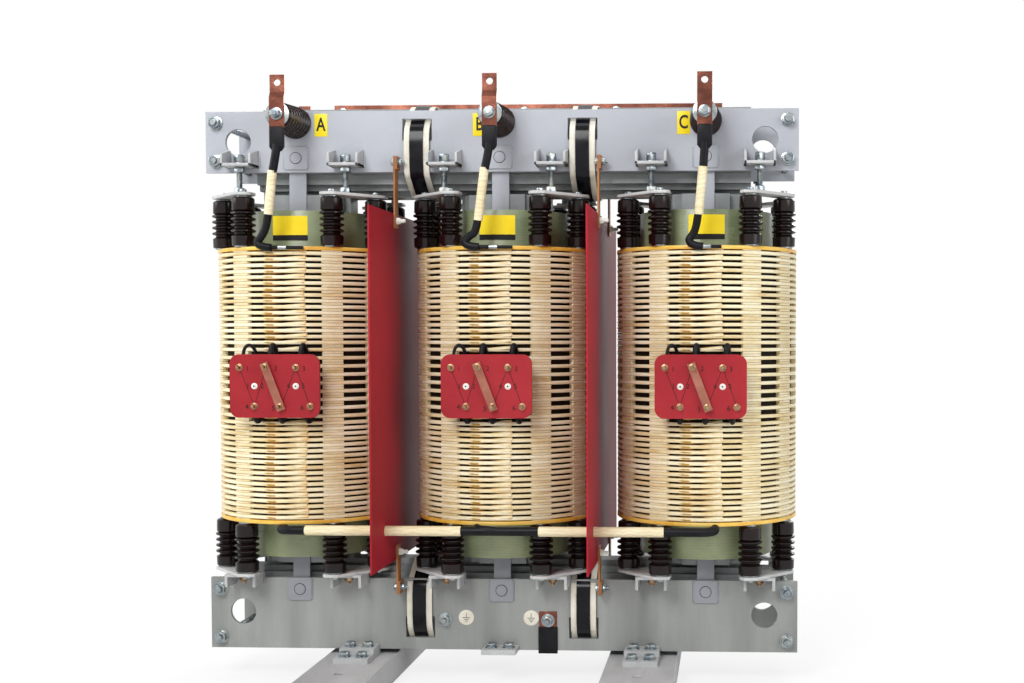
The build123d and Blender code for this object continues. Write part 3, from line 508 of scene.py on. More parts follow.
softEdges = [
    (lowerPaint, 0.0012, "front_lower_clamp rear_lower_clamp"),
    (greyPaint, 0.0012, "front_upper_clamp rear_upper_clamp"),
    (padPaintShaded, 0.0012, "tie_plate_pads"), (padPaintShaded, 0.001, "front_tie_plates rear_tie_plates"),
    (bracketPaint, 0.0012, "lower_brackets foot_plates"),
    (corePaint, 0.0008, "lower_yoke upper_yoke core_limb_a core_limb_b core_limb_c"),
    (railPaint, 0.0008, "left_rail right_rail"), (linerCream, 0.0008, "clamp_boards"),
    (redSheetShaded, 0.0008, "left_barrier right_barrier"), (hangerBrown, 0.0006, "barrier_hangers"),
    (copper, 0.0008, "lv_bars"), (copper, 0.0006, "terminal_bar_a terminal_bar_b terminal_bar_c"),
    (redBoard, 0.0012, "tap_board_a tap_board_b tap_board_c"), (linkCopper, 0.0005, "tap_links"),
]


def addBevel(piece, width, segments, degrees):
    bevel = piece.modifiers.new("bevel", "BEVEL")
    bevel.width = width
    bevel.segments = segments
    bevel.limit_method = "ANGLE"
    bevel.angle_limit = math.radians(degrees)
    return bevel


def addShell(piece, thickness, offset):
    shell = piece.modifiers.new("shell", "SOLIDIFY")
    shell.thickness = thickness
    shell.offset = offset


for finish, width, nodeNames in softEdges:
    for nodeName in nodeNames.split():
        shape = nodes[nodeName]
        for holder in shape.material_slots:
            holder.material = finish
        shape.modifiers.new("weld", "WELD").merge_threshold = tinyGap
        addBevel(shape, width, 2, 35).harden_normals = True
print("frame shapes finished")


# windings

coil = {
    "outer": 0.254, "inner": 0.220, "bottom": 0.455, "top": 1.208,
    "endRing": 0.010, "discHeight": 0.0092,
    "bands": [(18, 0.0151), (9, 0.0226), (16, 0.0161)],  # discs and pitch, from the bottom
    "columns": 12, "spacerWidth": 0.056, "spacerDepth": 0.035, "spacerMiddle": 0.017, "spacerGap": 0.0005,
    "stickWidth": 0.020, "cylinder": 0.190, "cylinderWall": 0.005,
    "cylinderBottom": 0.355, "cylinderTop": 1.310,
    # next: outer and inner radius of the dark sleeve of painted shade behind the disc gaps, and how far short
    # of the coil ends it stops
    "ringOuter": 0.2555, "ringInner": 0.218, "shadeOuter": 0.2405, "shadeInner": 0.2225, "shadeShort": 0.004,
    "lowOuter": 0.1852, "lowInner": 0.146, "lowBottom": 0.400, "lowTop": 1.265,
}
discLevels = []
level = coil["bottom"] + coil["endRing"]
for count, pitch in coil["bands"]:
    discLevels += [level + pitch * (index + 0.5) for index in range(count)]
    level += count * pitch
half = coil["discHeight"] / 2
disc = addRing("hvDisc", coil["outer"], coil["inner"], -half, half, edge=0.0022)
hvDiscs = copyMany(disc, "hvDiscs", [at(0, 0, level) for level in discLevels])

spacers = []
gapLimits = [coil["bottom"] + coil["endRing"] - half] + discLevels + [coil["top"] - coil["endRing"] + half]
for below, above in zip(gapLimits, gapLimits[1:]):
    low, high = below + half, above - half
    layers = 2 if high - low > 0.010 else 1
    for layer in range(layers):
        foot = low + (high - low) * layer / layers + coil["spacerGap"]
        head = low + (high - low) * (layer + 1) / layers - coil["spacerGap"]
        freshStart()
        bpy.ops.mesh.primitive_cube_add(size=1, location=(0, coil["spacerMiddle"], (foot + head) / 2))
        spacer = rename("hvSpacer")
        spacer.scale = (coil["spacerWidth"], coil["spacerDepth"], head - foot)
        settle(spacer)
        editAll()
        selectEdges(lambda one, two: abs(one.x - two.x) > 0.01)
        bpy.ops.mesh.subdivide(number_cuts=3)
        leaveEdit()
        spacers.append(curlRound(spacer, coil["outer"] + 0.0003))
column = joinPieces("hvColumn", spacers)
columnPlaces = [turn(2 * math.pi * index / coil["columns"], "Z") for index in range(coil["columns"])]
hvSpacers = copyMany(column, "hvSpacers", columnPlaces[1:])  # none where the crossovers are

stick = addBlock(
    "hvStick", (-coil["stickWidth"] / 2, -coil["inner"] - 0.001, coil["bottom"]),
    (coil["stickWidth"] / 2, -coil["cylinder"] + 0.001, coil["top"]), 0.001, 1)
hvSticks = copyMany(stick, "hvSticks", columnPlaces)

endRings = joinPieces("endRings", [
    addRing("endRing", coil["ringOuter"], coil["ringInner"], foot, foot + coil["endRing"], edge=0.0015)
    for foot in (coil["bottom"], coil["top"] - coil["endRing"])])
shadeSleeve = addRing(  # a dark sleeve of painted shade inside the discs, so that the gaps between them read dark
    "shadeSleeve", coil["shadeOuter"], coil["shadeInner"], coil["bottom"] + coil["shadeShort"],
    coil["top"] - coil["shadeShort"], edge=0.001)

wrap = {
    # how far along, half height and lift of each ring of the tape
    "rings": [(0.000, 0.0050, 0.0), (0.003, 0.0068, -0.0002), (0.018, 0.0076, -0.0006),
              (0.034, 0.0074, -0.0010), (0.050, 0.0054, -0.0008), (0.058, 0.0050, 0.0000),
              (0.074, 0.0062, 0.0008), (0.098, 0.0073, 0.0018), (0.122, 0.0083, 0.0028),
              (0.1245, 0.0050, 0.0026)],
    "depth": 2.4, "start": {"a": -0.062, "b": -0.074, "c": -0.076}, "reach": 0.0165, "sides": 10,
}


def addWrap(name):
    freshStart()
    first = wrap["rings"][0]
    bpy.ops.mesh.primitive_circle_add(
        vertices=wrap["sides"], radius=first[1], fill_type="NGON", rotation=(0, quarter, 0))
    piece = settle(rename(name))
    editAll()
    for before, after in zip(wrap["rings"], wrap["rings"][1:]):
        grow = after[1] / before[1]
        pullOut((after[0] - before[0], 0, after[2] - before[2]), (1, grow, grow), (after[0], 0, after[2]))
    selectAll()
    bpy.ops.transform.resize(value=(1, wrap["depth"], 1), center_override=(0, 0, 0))
    bpy.ops.transform.translate(value=(0, wrap["reach"], 0))
    closeMesh()
    return smooth(piece, 60)


tapePlaces = []
for index, level in enumerate(discLevels):
    sway = 0.0016 * math.sin(index * 2.3) + 0.0022 * math.sin(index * 0.47 + 1)  # no two ends line up
    tapePlaces.append(at(sway, 0, level + 0.0005 * math.sin(index * 1.7)))
tapeStack = copyMany(addWrap("wrapTape"), "tapeStack", tapePlaces)

lvCoil = addRing("lvCoil", coil["lowOuter"], coil["lowInner"], coil["lowBottom"], coil["lowTop"], edge=0.001)
cylinder = addRing(
    "cylinder", coil["cylinder"], coil["cylinder"] - coil["cylinderWall"],
    coil["cylinderBottom"], coil["cylinderTop"], 120, 0.001)

coilParts = [
    (hvDiscs, "hvDiscs_", discPaper, "winding", "hv_winding_"),
    (hvSpacers, "hvSpacers_", spacerBoard, "winding", ""),
    # the dark sleeve among these is painted shade behind the gaps between the discs
    (hvSticks, "hvSticks_", spacerBoard, "winding", ""), (shadeSleeve, "hvDuct_", gapShade, "winding", ""),
    (endRings, "endRings_", ringResin, "winding", ""),
    (cylinder, "cylinder_", greenGlass, "cylinder", "insulating_cylinder_"),
    (lvCoil, "lvCoil_", foilEdge, "lv", "lv_winding_"),
]
for letter, x in phases.items():
    for part, name, finish, slotName, replaced in coilParts:
        piece = copyTo(part, name + letter, at(x, 0, 0))
        finishPiece(piece, finish, [replaced + letter] if replaced else ())
    tape = copyTo(tapeStack, "crossovers_" + letter, at(wrap["start"][letter], 0, 0))
    curlRound(tape, coil["outer"])
    tape.data.transform(at(x, 0, 0))
    finishPiece(tape, wrapTape)
for part, *others in coilParts:
    dropPiece(part)
dropPiece(tapeStack)
print("windings made")


# support insulators, each with a steel insert at both ends

support = {
    "height": 0.141, "circle": 0.2380, "angles": (30.9, 64.9), "sides": 28, "sheds": 4,
    "body": 0.0305, "shed": 0.0330, "groove": 0.0228, "foot": 0.034, "pitch": 0.0162, "lowFoot": 0.314,
}
supportAngles = [math.radians(degrees) for degrees in support["angles"]]


def shedStations():
    foot, body, shed, groove, height = [support[key] for key in ("foot", "body", "shed", "groove", "height")]
    stations = [(0.004, 0.0285), (0.006, body), (foot - 0.004, body + 0.0008), (foot, groove + 0.002)]
    for index in range(support["sheds"]):
        start = foot + index * support["pitch"]
        stations += [(start + 0.0022, groove), (start + 0.0050, groove + 0.0008),
                     (start + 0.0074, shed - 0.0018), (start + 0.0092, shed), (start + 0.0122, shed),
                     (start + 0.0140, shed - 0.0022), (start + 0.0154, groove + 0.0022)]
    head = foot + support["sheds"] * support["pitch"]
    return stations + [(head + 0.002, body - 0.001), (head + 0.004, body), (height - 0.009, body - 0.0006),
                       (height - 0.006, body - 0.004), (height - 0.0045, 0.024)]


def supportPlaces(foot):
    return frontAndRear([
        at(x + side * support["circle"] * math.sin(angle), -support["circle"] * math.cos(angle), foot)
        for x in phases.values() for side in (-1, 1) for angle in supportAngles])


insulator = addTurned("insulator", shedStations(), support["sides"])
insert = joinPieces("insert", [
    addRod("insertFoot", 0.024, 0.0, 0.0045, 24, 0.0006),
    addRod("insertHead", 0.019, support["height"] - 0.005, support["height"], 24, 0.0006)])
for level, foot in (("upper", coil["top"]), ("lower", support["lowFoot"])):
    stack = copyMany(insulator, level + "Insulators", supportPlaces(foot), True)
    finishPiece(stack, porcelain, [level + "_support_insulators"])
    finishPiece(copyMany(insert, level + "Inserts", supportPlaces(foot), True), zinc)
dropPiece(insulator)
dropPiece(insert)

plate = {
    "width": 0.062, "thickness": 0.008, "overhang": 0.034, "corner": 0.024, "upper": 1.349, "lower": 0.306}
firstAngle, lastAngle = supportAngles
reachX = support["circle"] * (math.sin(lastAngle) - math.sin(firstAngle))
reachY = support["circle"] * (math.cos(firstAngle) - math.cos(lastAngle))
plateLength = math.hypot(reachX, reachY) + 2 * plate["overhang"]
freshStart()
bpy.ops.mesh.primitive_cube_add(size=1, location=(0, 0, plate["thickness"] / 2))
pressPlate = rename("pressPlate")
pressPlate.scale = (plateLength, plate["width"], plate["thickness"])
settle(pressPlate)
editAll()
selectEdges(lambda one, two: abs(one.z - two.z) > 0.004)
bpy.ops.mesh.bevel(offset=plate["corner"], segments=1, affect="EDGES")
selectAll()
bpy.ops.mesh.bevel(offset=0.001, segments=2, affect="EDGES")
leaveEdit()
smooth(pressPlate)
middleX = support["circle"] * (math.sin(firstAngle) + math.sin(lastAngle)) / 2
middleY = support["circle"] * (math.cos(firstAngle) + math.cos(lastAngle)) / 2
for level in ("upper", "lower"):
    plates = copyMany(pressPlate, level + "Plates", frontAndRear([
        at(x + side * middleX, -middleY, plate[level]) @ turn(side * math.atan2(reachY, reachX), "Z")
        for x in phases.values() for side in (-1, 1)]), True)
    finishPiece(plates, paleSteel, [level + "_pressing_plates"])
dropPiece(pressPlate)
print("support insulators made")


# bolts: washer, nut and threaded end, standing on Z = 0

def addNut(name, across, bottom, top):
    freshStart()
    bpy.ops.mesh.primitive_cylinder_add(
        vertices=6, radius=across / math.sqrt(3), depth=top - bottom, location=(0, 0, (bottom + top) / 2))
    piece = settle(rename(name))
    editAll()
    bpy.ops.mesh.bevel(offset=across * 0.05, segments=2, affect="EDGES")
    selectFaces(lambda centre, normal: normal.z > 0.9 and centre.z > top - 0.0002)
    bpy.ops.mesh.inset(thickness=across * 0.06, depth=0)
    pullOut((0, 0, across * 0.02), (0.96, 0.96, 1), (0, 0, top))
    leaveEdit()
    return smooth(piece)


def addThread(name, radius, bottom, top, pitch=0.0024, sides=16):
    stations = [(bottom, radius)]
    level = bottom + pitch
    while level < top - pitch:
        stations += [(level - pitch * 0.4, radius * 0.9), (level, radius)]
        level += pitch
    stations.append((top, radius * 0.8))
    return addTurned(name, stations, sides)


def addBolt(name, size):
    parts = []
    level = 0.0
    for washer, thickness in size["washers"]:
        parts.append(addRod(name + "Washer", washer, level, level + thickness, 28, thickness * 0.25))
        level += thickness
    head = level + size["nut"]
    parts.append(addNut(name + "Nut", size["across"], level, head))
    if "end" in size:
        parts.append(addThread(name + "End", size["thread"], head, head + size["end"]))
    return joinPieces(name, parts)


rod = {"x": 0.795, "heights": (0.119, 0.255, 1.452, 1.558), "radius": 0.010}
rodBolt = addBolt("rodBolt", {
    "washers": [(0.0195, 0.003), (0.0165, 0.0025)], "across": 0.030, "nut": 0.014, "thread": 0.010,
    "end": 0.0065})
rodEnds = [onFace(side * rod["x"], z) for side in (-1, 1) for z in rod["heights"]]
rodNuts = copyMany(rodBolt, "rodNuts", frontAndRear(rodEnds))
rodBar = addRod("rodBar", rod["radius"], -clampFace, clampFace, 16, 0.0005)
rodBars = copyMany(rodBar, "rodBars", [
    at(side * rod["x"], 0, z) @ towardsFront for side in (-1, 1) for z in rod["heights"]])
finishPiece(joinPieces("clampRods", [rodNuts, rodBars]), zinc, ["clamp_rods"])

screw = {
    "y": 0.1617, "offset": 0.148, "plateTop": 1.357, "bracket": 1.432, "wall": 0.008, "lowBracket": 0.306,
    "lowWeld": 0.270,
}
screwX = [x + side * screw["offset"] for x in phases.values() for side in (-1, 1)]
shaft = addThread("shaft", 0.008, screw["plateTop"], screw["bracket"] + 0.012, 0.003)
plateNut = addNut("plateNut", 0.026, screw["plateTop"], screw["plateTop"] + 0.017)
lockNut = addNut("lockNut", 0.026, screw["bracket"] - 0.015, screw["bracket"])
trayWasher = addRod("trayWasher", 0.017, screw["bracket"] + 0.008, screw["bracket"] + 0.011, 24, 0.0006)
topNut = addNut("topNut", 0.026, screw["bracket"] + 0.011, screw["bracket"] + 0.033)
pressing = joinPieces("pressing", [shaft, plateNut, lockNut, trayWasher, topNut])
upperScrews = copyMany(pressing, "upperScrews", frontAndRear([at(x, -screw["y"], 0) for x in screwX]))
tray = {"width": 0.086, "depth": 0.064, "wall": 0.007, "height": 0.050, "slope": 0.016}
trayFront = -clampFace - tray["depth"]
trayBase = addBlock("trayBase", (-tray["width"] / 2, trayFront, screw["bracket"]),
                    (tray["width"] / 2, -clampFace, screw["bracket"] + screw["wall"]), 0.001, 2)
trayParts = [trayBase]
for side in (-1, 1):
    edge = side * (tray["width"] / 2 - tray["wall"] / 2)
    flange = addBlock("trayFlange", (edge - tray["wall"] / 2, trayFront, screw["bracket"]),
                      (edge + tray["wall"] / 2, -clampFace, screw["bracket"] + tray["height"]), 0.001, 2)
    activate(flange)
    editAll()
    bpy.ops.mesh.select_all(action="DESELECT")
    bpy.ops.mesh.select_mode(type="VERT")
    shape = bmesh.from_edit_mesh(flange.data)
    for corner in shape.verts:  # the outer corner slopes down
        corner.select_set(corner.co.y < trayFront + 0.002 and corner.co.z > screw["bracket"] + 0.03)
    bmesh.update_edit_mesh(flange.data)
    bpy.ops.transform.translate(value=(0, 0, -tray["slope"]))
    leaveEdit()
    trayParts.append(flange)
trays = copyMany(joinPieces("tray", trayParts), "upperTrays", frontAndRear([at(x, 0, 0) for x in screwX]))
finishPiece(trays, bracketPaint, ["upper_brackets"])
lowBolt = addBolt("lowBolt", {
    "washers": [(0.015, 0.0025)], "across": 0.022, "nut": 0.010, "thread": 0.0065, "end": 0.008})
lowBolts = copyMany(lowBolt, "lowScrews", frontAndRear([
    at(x, -screw["y"], screw["lowBracket"] - screw["wall"]) @ upsideDown for x in screwX]))
finishPiece(upperScrews, zinc, ["pressing_screws"])
finishPiece(lowBolts, brass)

plateBolt = addBolt("plateBolt", {"washers": [(0.013, 0.002)], "across": 0.017, "nut": 0.007})
plateBolts = []
for place in supportPlaces(0):
    spot = place.to_translation()
    plateBolts += [at(spot.x, spot.y, screw["plateTop"]), at(spot.x, spot.y, plate["lower"]) @ upsideDown]
finishPiece(copyMany(plateBolt, "plateBolts", plateBolts), zinc)

foot = {"middles": (-0.395, 0.0, 0.395), "offset": 0.024, "inner": (-0.160, 0.101), "outer": (-0.220, 0.087)}
footBolt = addBolt("footBolt", {"washers": [(0.017, 0.0025)], "across": 0.026, "nut": 0.0105})
footPlaces = []
for x in foot["middles"]:
    for offset in (-foot["offset"], foot["offset"]):
        footPlaces.append(at(x + offset, *foot["inner"]))
        if x:  # the middle foot has no outer bolts
            footPlaces.append(at(x + offset, *foot["outer"]))
finishPiece(copyMany(footBolt, "footBolts", frontAndRear(footPlaces)), zinc, ["foot_bolts"])

pin = {"radius": 0.0150, "heights": (0.255, 1.460), "face": 0.1337}
padPin = addRod("padPin", pin["radius"], -0.002, 0.0015, 32, 0.0007)
padPlaces = [at(x, -pin["face"], z) @ towardsFront for x in phases.values() for z in pin["heights"]]
finishPiece(copyMany(padPin, "padPins", frontAndRear(padPlaces)), padPaintShaded)
# a thin dark ring of painted shade round each pin, for the shaded groove between pin and pad
padGrooveShade = addRing("padGrooveShade", pin["radius"] + 0.0016, pin["radius"] - 0.0004, -0.001, 0.0003, 40, 0.0001)
finishPiece(copyMany(padGrooveShade, "padGrooveShades", frontAndRear(padPlaces)), gapShade)
print("bolts made")


# welds: a row of small beads along an edge

bead = {"radius": 0.0041, "step": 0.0052}


def addWeld(name, start, end):
    count = max(2, int((Vector(end) - Vector(start)).length / bead["step"]))
    freshStart()
    bpy.ops.mesh.primitive_uv_sphere_add(segments=8, ring_count=5, radius=bead["radius"])
    drop = settle(rename(name + "Drop"))
    editAll()
    bpy.ops.transform.resize(value=(1, 0.75, 1), center_override=(0, 0, 0))
    leaveEdit()
    places = [at(*Vector(start).lerp(Vector(end), (index + 0.5) / count)) for index in range(count)]
    return smooth(copyMany(drop, name, places), 80)


def addWeldPair(name, across, low, high, places):
    pair = joinPieces(name, [
        addWeld(name, (side * across, -clampFace, low), (side * across, -clampFace, high))
        for side in (-1, 1)])
    return copyMany(pair, name, frontAndRear(places))


padWelds = addWeldPair("padWelds", 0.033, -0.028, 0.028, [
    at(x, 0, z) for x in phases.values() for z in pin["heights"]])
trayWelds = addWeldPair("trayWelds", 0.044, 0.002, 0.034, [
    at(x, 0, z) for z in (screw["bracket"], screw["lowWeld"]) for x in screwX])
finishPiece(joinPieces("welds", [padWelds, trayWelds]), padPaintShaded)
print("welds made")


# high voltage terminals

post = {"length": 0.146, "z": 1.557, "base": 0.0445, "tip": 0.0345, "sheds": 8, "groove": 0.0065, "sides": 36}
groove = post["groove"]
ribs = [(0.0, post["base"] - 0.003), (0.004, post["base"])]
ribStep = (post["length"] - 0.008) / post["sheds"]
for index in range(post["sheds"]):
    radius = post["base"] + (post["tip"] - post["base"]) * (index + 0.5) / post["sheds"]
    start = 0.004 + index * ribStep
    ribs += [(start + ribStep * 0.40, radius), (start + ribStep * 0.58, radius - groove * 0.7),
             (start + ribStep * 0.72, radius - groove), (start + ribStep * 0.92, radius - groove * 0.3)]
ribs += [(post["length"] - 0.002, post["tip"] - 0.003), (post["length"], post["tip"] - 0.006)]
postPlaces = [onFace(x, post["z"]) for x in phases.values()]
posts = copyMany(addTurned("post", ribs, post["sides"]), "terminalPosts", postPlaces)
finishPiece(posts, brownPost, ["post_insulators"])

cap = addRod("cap", 0.0325, post["length"], 0.150, 36, 0.001)
terminalBolt = addBolt("terminalBolt", {
    "washers": [(0.0165, 0.0028), (0.0135, 0.0024)], "across": 0.024, "nut": 0.012, "thread": 0.0075,
    "end": 0.003})
raisedBolt = copyMany(terminalBolt, "raisedBolt", [at(0, 0, 0.155)])
terminals = copyMany(joinPieces("terminal", [cap, raisedBolt]), "terminalBolts", postPlaces)
finishPiece(terminals, zinc, ["terminal_bolts"])

lead = {
    "bar": 0.2822, "sleeveTop": 1.524, "sleeveBottom": 1.466, "cable": 0.0112, "cream": 0.0122, "low": 0.0105,
    "flat": 0.0056, "ring": 0.2630, "ringZ": 1.2035,
    # each phase: across from its middle and height of the cream sleeve's ends and the elbow, and the tip
    "a": {"start": (-0.014, 1.408), "end": (-0.030, 1.292), "elbow": (-0.062, 1.214), "tip": 0.060},
    "b": {"start": (-0.014, 1.413), "end": (-0.034, 1.274), "elbow": (-0.070, 1.213), "tip": 0.056},
    "c": {"start": (-0.004, 1.413), "end": (-0.016, 1.288), "elbow": (-0.040, 1.217), "tip": 0.044},
}


def onRing(x, across):  # a point on the front of the end ring
    return (x + across, -math.sqrt(lead["ring"] ** 2 - across ** 2), lead["ringZ"])


for letter, x in phases.items():
    own = lead[letter]
    sleeve = addBlock(
        "leadSleeve", (x - 0.0200, -lead["bar"] - 0.0060, lead["sleeveBottom"]),
        (x + 0.0200, -lead["bar"] + 0.0060, lead["sleeveTop"]), 0.0045, 4)
    activate(sleeve)
    bpy.ops.object.mode_set(mode="EDIT")
    selectFaces(lambda centre, normal: normal.z < -0.7)
    pullOut((0, 0, -0.008), (0.66, 1.3, 1), (x, -lead["bar"], lead["sleeveBottom"]))
    leaveEdit()
    startX, startZ = own["start"]
    endX, endZ = own["end"]
    elbowX, elbowZ = own["elbow"]
    upper = addTube("leadUpper", [
        (x, -lead["bar"], lead["sleeveBottom"] + 0.01), (x + startX * 0.3, -lead["bar"], 1.445),
        (x + startX, -0.279, startZ - 0.006)], lead["cable"])
    cream = addTube("leadCream_" + letter, [
        (x + startX, -0.279, startZ), (x + (startX + endX) / 2, -0.274, (startZ + endZ) / 2),
        (x + endX, -0.268, endZ)], lead["cream"])
    lower = addTube("leadLower", [
        (x + endX, -0.268, endZ + 0.01), (x + endX - 0.006, -0.263, endZ - 0.030),
        (x + elbowX + 0.010, -0.258, elbowZ + 0.020), (x + elbowX - 0.006, -0.258, elbowZ + 0.002),
        (x + elbowX + 0.014, -0.261, lead["ringZ"] + 0.001), (x + elbowX + 0.036, -0.262, lead["ringZ"])],
        lead["low"])
    flat = addTube("leadFlat", [
        onRing(x, elbowX + 0.020), onRing(x, elbowX + 0.036), onRing(x, -0.002)], lead["flat"])
    tail = addTube("leadTail", [
        onRing(x, 0.012), onRing(x, 0.030), onRing(x, own["tip"])], lead["flat"] - 0.0008)
    ferrule = addTube("leadFerrule_" + letter, [
        onRing(x, -0.006), onRing(x, 0.006), onRing(x, 0.016)], lead["flat"] + 0.0005)
    black = joinPieces("leadBlack_" + letter, [sleeve, upper, lower, flat, tail])
    finishPiece(black, blackSleeve, ["hv_lead_" + letter])
    finishPiece(cream, creamSleeve)
    finishPiece(ferrule, zinc)

star = {
    "y": -0.275, "z": 0.4425, "black": 0.0120, "cream": 0.0135, "tail": 0.011,
    "ends": (-0.569, 0.588), "creamRuns": [(-0.507, -0.083), (0.125, 0.462)],
}
left, right = star["ends"]
straight = [
    (x, star["y"], star["z"]) for x in (left + 0.010, left + 0.060, 0.0, right - 0.060, right - 0.006)]
starBlack = addTube("starBlack", [
    (left - 0.010, -0.232, 0.446), (left - 0.012, -0.262, star["z"]), *straight,
    (right + 0.014, -0.262, star["z"] + 0.004), (right + 0.006, -0.238, 0.454)], star["black"], 8, 10)
starTail = addTube("starTail", [
    (-0.045, -0.232, 0.449), (-0.046, -0.262, 0.449), (-0.030, star["y"] - 0.001, 0.447),
    (0.010, star["y"] - 0.001, 0.444)], star["tail"], 8, 8)
finishPiece(joinPieces("starBlackRuns", [starBlack, starTail]), blackSleeve, ["star_link"])
runs = []
for start, end in star["creamRuns"]:
    run = addRod("starRun", star["cream"], start, end, 32, 0.003)
    run.data.transform(at(0, star["y"], star["z"]) @ towardsRight)
    runs.append(run)
finishPiece(joinPieces("starCreamRuns", runs), creamSleeve)
print("terminals and leads made")


# tap boards

board = {
    "shift": -0.010, "z": 0.832, "height": 0.170, "front": -0.292, "cableY": -0.276, "spacerLift": -0.046,
    "studs": {"1": (-0.095, 0.050), "2": (-0.022, 0.052), "3": (0.058, 0.050),
              "4": (-0.055, -0.054), "5": (0.018, -0.054), "6": (0.096, -0.054)},
    "screws": ((-0.054, 0.0), (0.058, 0.0)),
    "lines": (("1", "4"), ("4", "2"), ("5", "3"), ("3", "6")), "lineWidth": 0.0014,
    "linked": ("2", "5"), "linkLift": 0.012,
    "numbers": [("1", -0.073, 0.046), ("2", 0.004, 0.047), ("3", 0.080, 0.046), ("1", -0.072, 0.0),
                ("2", -0.034, 0.0), ("4", 0.038, 0.0), ("5", 0.078, 0.0), ("4", -0.075, -0.056),
                ("5", -0.004, -0.060), ("6", 0.074, -0.058)],
    "numberSize": 0.019, "lowLoops": (-0.058, 0.010, 0.082),
    # across, lean and radius
    "loops": [(-0.077, 0.014, 0.0046), (-0.012, 0.004, 0.0066), (0.070, 0.004, 0.0066)],
}
tapNut = addBolt("tapNut", {
    "washers": [(0.0095, 0.0016)], "across": 0.0142, "nut": 0.0062, "thread": 0.0052, "end": 0.009})
fixing = joinPieces("fixing", [
    addRod("fixingWasher", 0.0085, 0, 0.002, 28, 0.0006),
    addRod("fixingHead", 0.0055, 0.002, 0.005, 20, 0.0012)])
fixingDot = addNut("fixingDot", 0.0042, 0.0045, 0.0054)


def onBoard(x, across, rise, lift=0.0):
    return at(x + board["shift"] + across, board["front"] - lift, board["z"] + rise)


for letter, x in phases.items():
    middle = x + board["shift"]
    nutPlaces = []
    for number, (across, rise) in board["studs"].items():
        if number in board["linked"]:  # one more nut, over the link
            nutPlaces.append(onBoard(x, across, rise, board["linkLift"]) @ towardsFront)
        nutPlaces.append(onBoard(x, across, rise) @ towardsFront)
    finishPiece(copyMany(tapNut, "tapNuts_" + letter, nutPlaces, True), brass)
    screwPlaces = [onBoard(x, across, rise) @ towardsFront for across, rise in board["screws"]]
    finishPiece(copyMany(fixing, "tapScrews_" + letter, screwPlaces, True), nylonWhite)
    marks = [copyMany(fixingDot, "dots", screwPlaces, True)]
    for one, two in board["lines"]:
        (x0, z0), (x1, z1) = board["studs"][one], board["studs"][two]
        long, wide = math.hypot(x1 - x0, z1 - z0) / 2 - 0.011, board["lineWidth"] / 2
        line = addBlock("line", (-long, -0.0002, -wide), (long, 0.0002, wide), 0.0001, 1)
        slope = math.atan2(z1 - z0, x1 - x0)
        line.data.transform(onBoard(x, (x0 + x1) / 2, (z0 + z1) / 2) @ turn(-slope, "Y"))
        marks.append(line)
    for text, across, rise in board["numbers"]:
        number = addWord("number", text, board["numberSize"], 0.0003)
        number.data.transform(onBoard(x, across, rise) @ towardsFront)
        marks.append(number)
    finishPiece(joinPieces("tapMarks_" + letter, marks), signBlack)
    loops = []
    top, low = board["z"] + board["height"] / 2, board["z"] - board["height"] / 2
    for across, lean, radius in board["loops"]:
        loop = middle + across
        loops.append(addTube("loop", [
            (loop - lean, board["cableY"], top - 0.060), (loop - lean, board["cableY"], top - 0.010),
            (loop - lean * 0.8, -0.274, top + 0.016), (loop, -0.267, top + 0.027),
            (loop + lean * 0.8, -0.258, top + 0.016), (loop + lean, -0.246, top - 0.008),
            (loop + lean, -0.236, top - 0.030)], radius))
    for across in board["lowLoops"]:
        loop = middle + across
        loops.append(addTube("loop", [
            (loop, board["cableY"], low + 0.060), (loop, board["cableY"], low + 0.010),
            (loop, -0.275, low - 0.006), (loop + 0.002, -0.264, low - 0.013),
            (loop + 0.004, -0.250, low - 0.005), (loop + 0.004, -0.236, low + 0.004)], 0.0068))
    finishPiece(joinPieces("tapCables_" + letter, loops), blackSleeve)
tapSpacer = addRod("tapSpacer", 0.009, 0.0, 0.038, 24, 0.0008)
tapSpacers = copyMany(tapSpacer, "tapSpacers", [
    onBoard(x, across, rise, board["spacerLift"]) @ towardsFront
    for x in phases.values() for across, rise in board["screws"]])
finishPiece(tapSpacers, nylonWhite, ["tap_board_spacers", "tap_loops", "tap_studs"])
for used in (tapNut, fixing, fixingDot):
    dropPiece(used)
print("tap boards made")


# bands round the yokes, each over a cream liner

band = {
    "x": 0.230, "upper": 1.485, "lower": 0.202, "width": 0.038, "thick": 0.0030, "linerWidth": 0.070,
    "linerThick": 0.0022, "lift": 0.0026,  # lift: how far the band is moved out over its liner
    # half way round, from over the yoke through the slot and down the clamp: (reach, rise)
    "line": [(0.0, 0.1285), (0.044, 0.1285), (0.093, 0.1000), (0.1335, 0.0520), (0.1385, 0.0200),
             (0.1380, -0.0400), (0.1335, -0.0720), (0.093, -0.1000), (0.044, -0.1285), (0.0, -0.1285)],
}


def addBand(name, width, thickness):
    freshStart()
    line = band["line"]
    rise = line[0][1]
    bpy.ops.mesh.primitive_plane_add(size=1, location=(0, 0, 0))
    piece = rename(name)
    piece.scale = (width, 0.004, 1)
    settle(piece)
    for vertex in piece.data.vertices:  # the first short strip lies on top of the yoke
        vertex.co.z = rise
    bpy.ops.object.mode_set(mode="EDIT")
    selectEdges(lambda one, two: one.y < 0 and two.y < 0)
    down = [(-reach, height) for reach, height in line[1:]]
    back = [(reach, height) for reach, height in reversed(line[1:-1])]
    around = [(-0.002, rise)] + down + back + [(0.002, rise)]
    for before, after in zip(around, around[1:]):
        pullOut((0, after[0] - before[0], after[1] - before[1]))
    closeMesh(0.0005)
    addBevel(piece, 0.012, 4, 8)
    addShell(piece, thickness, 1.0)
    return smooth(applyModifiers(piece), 30)


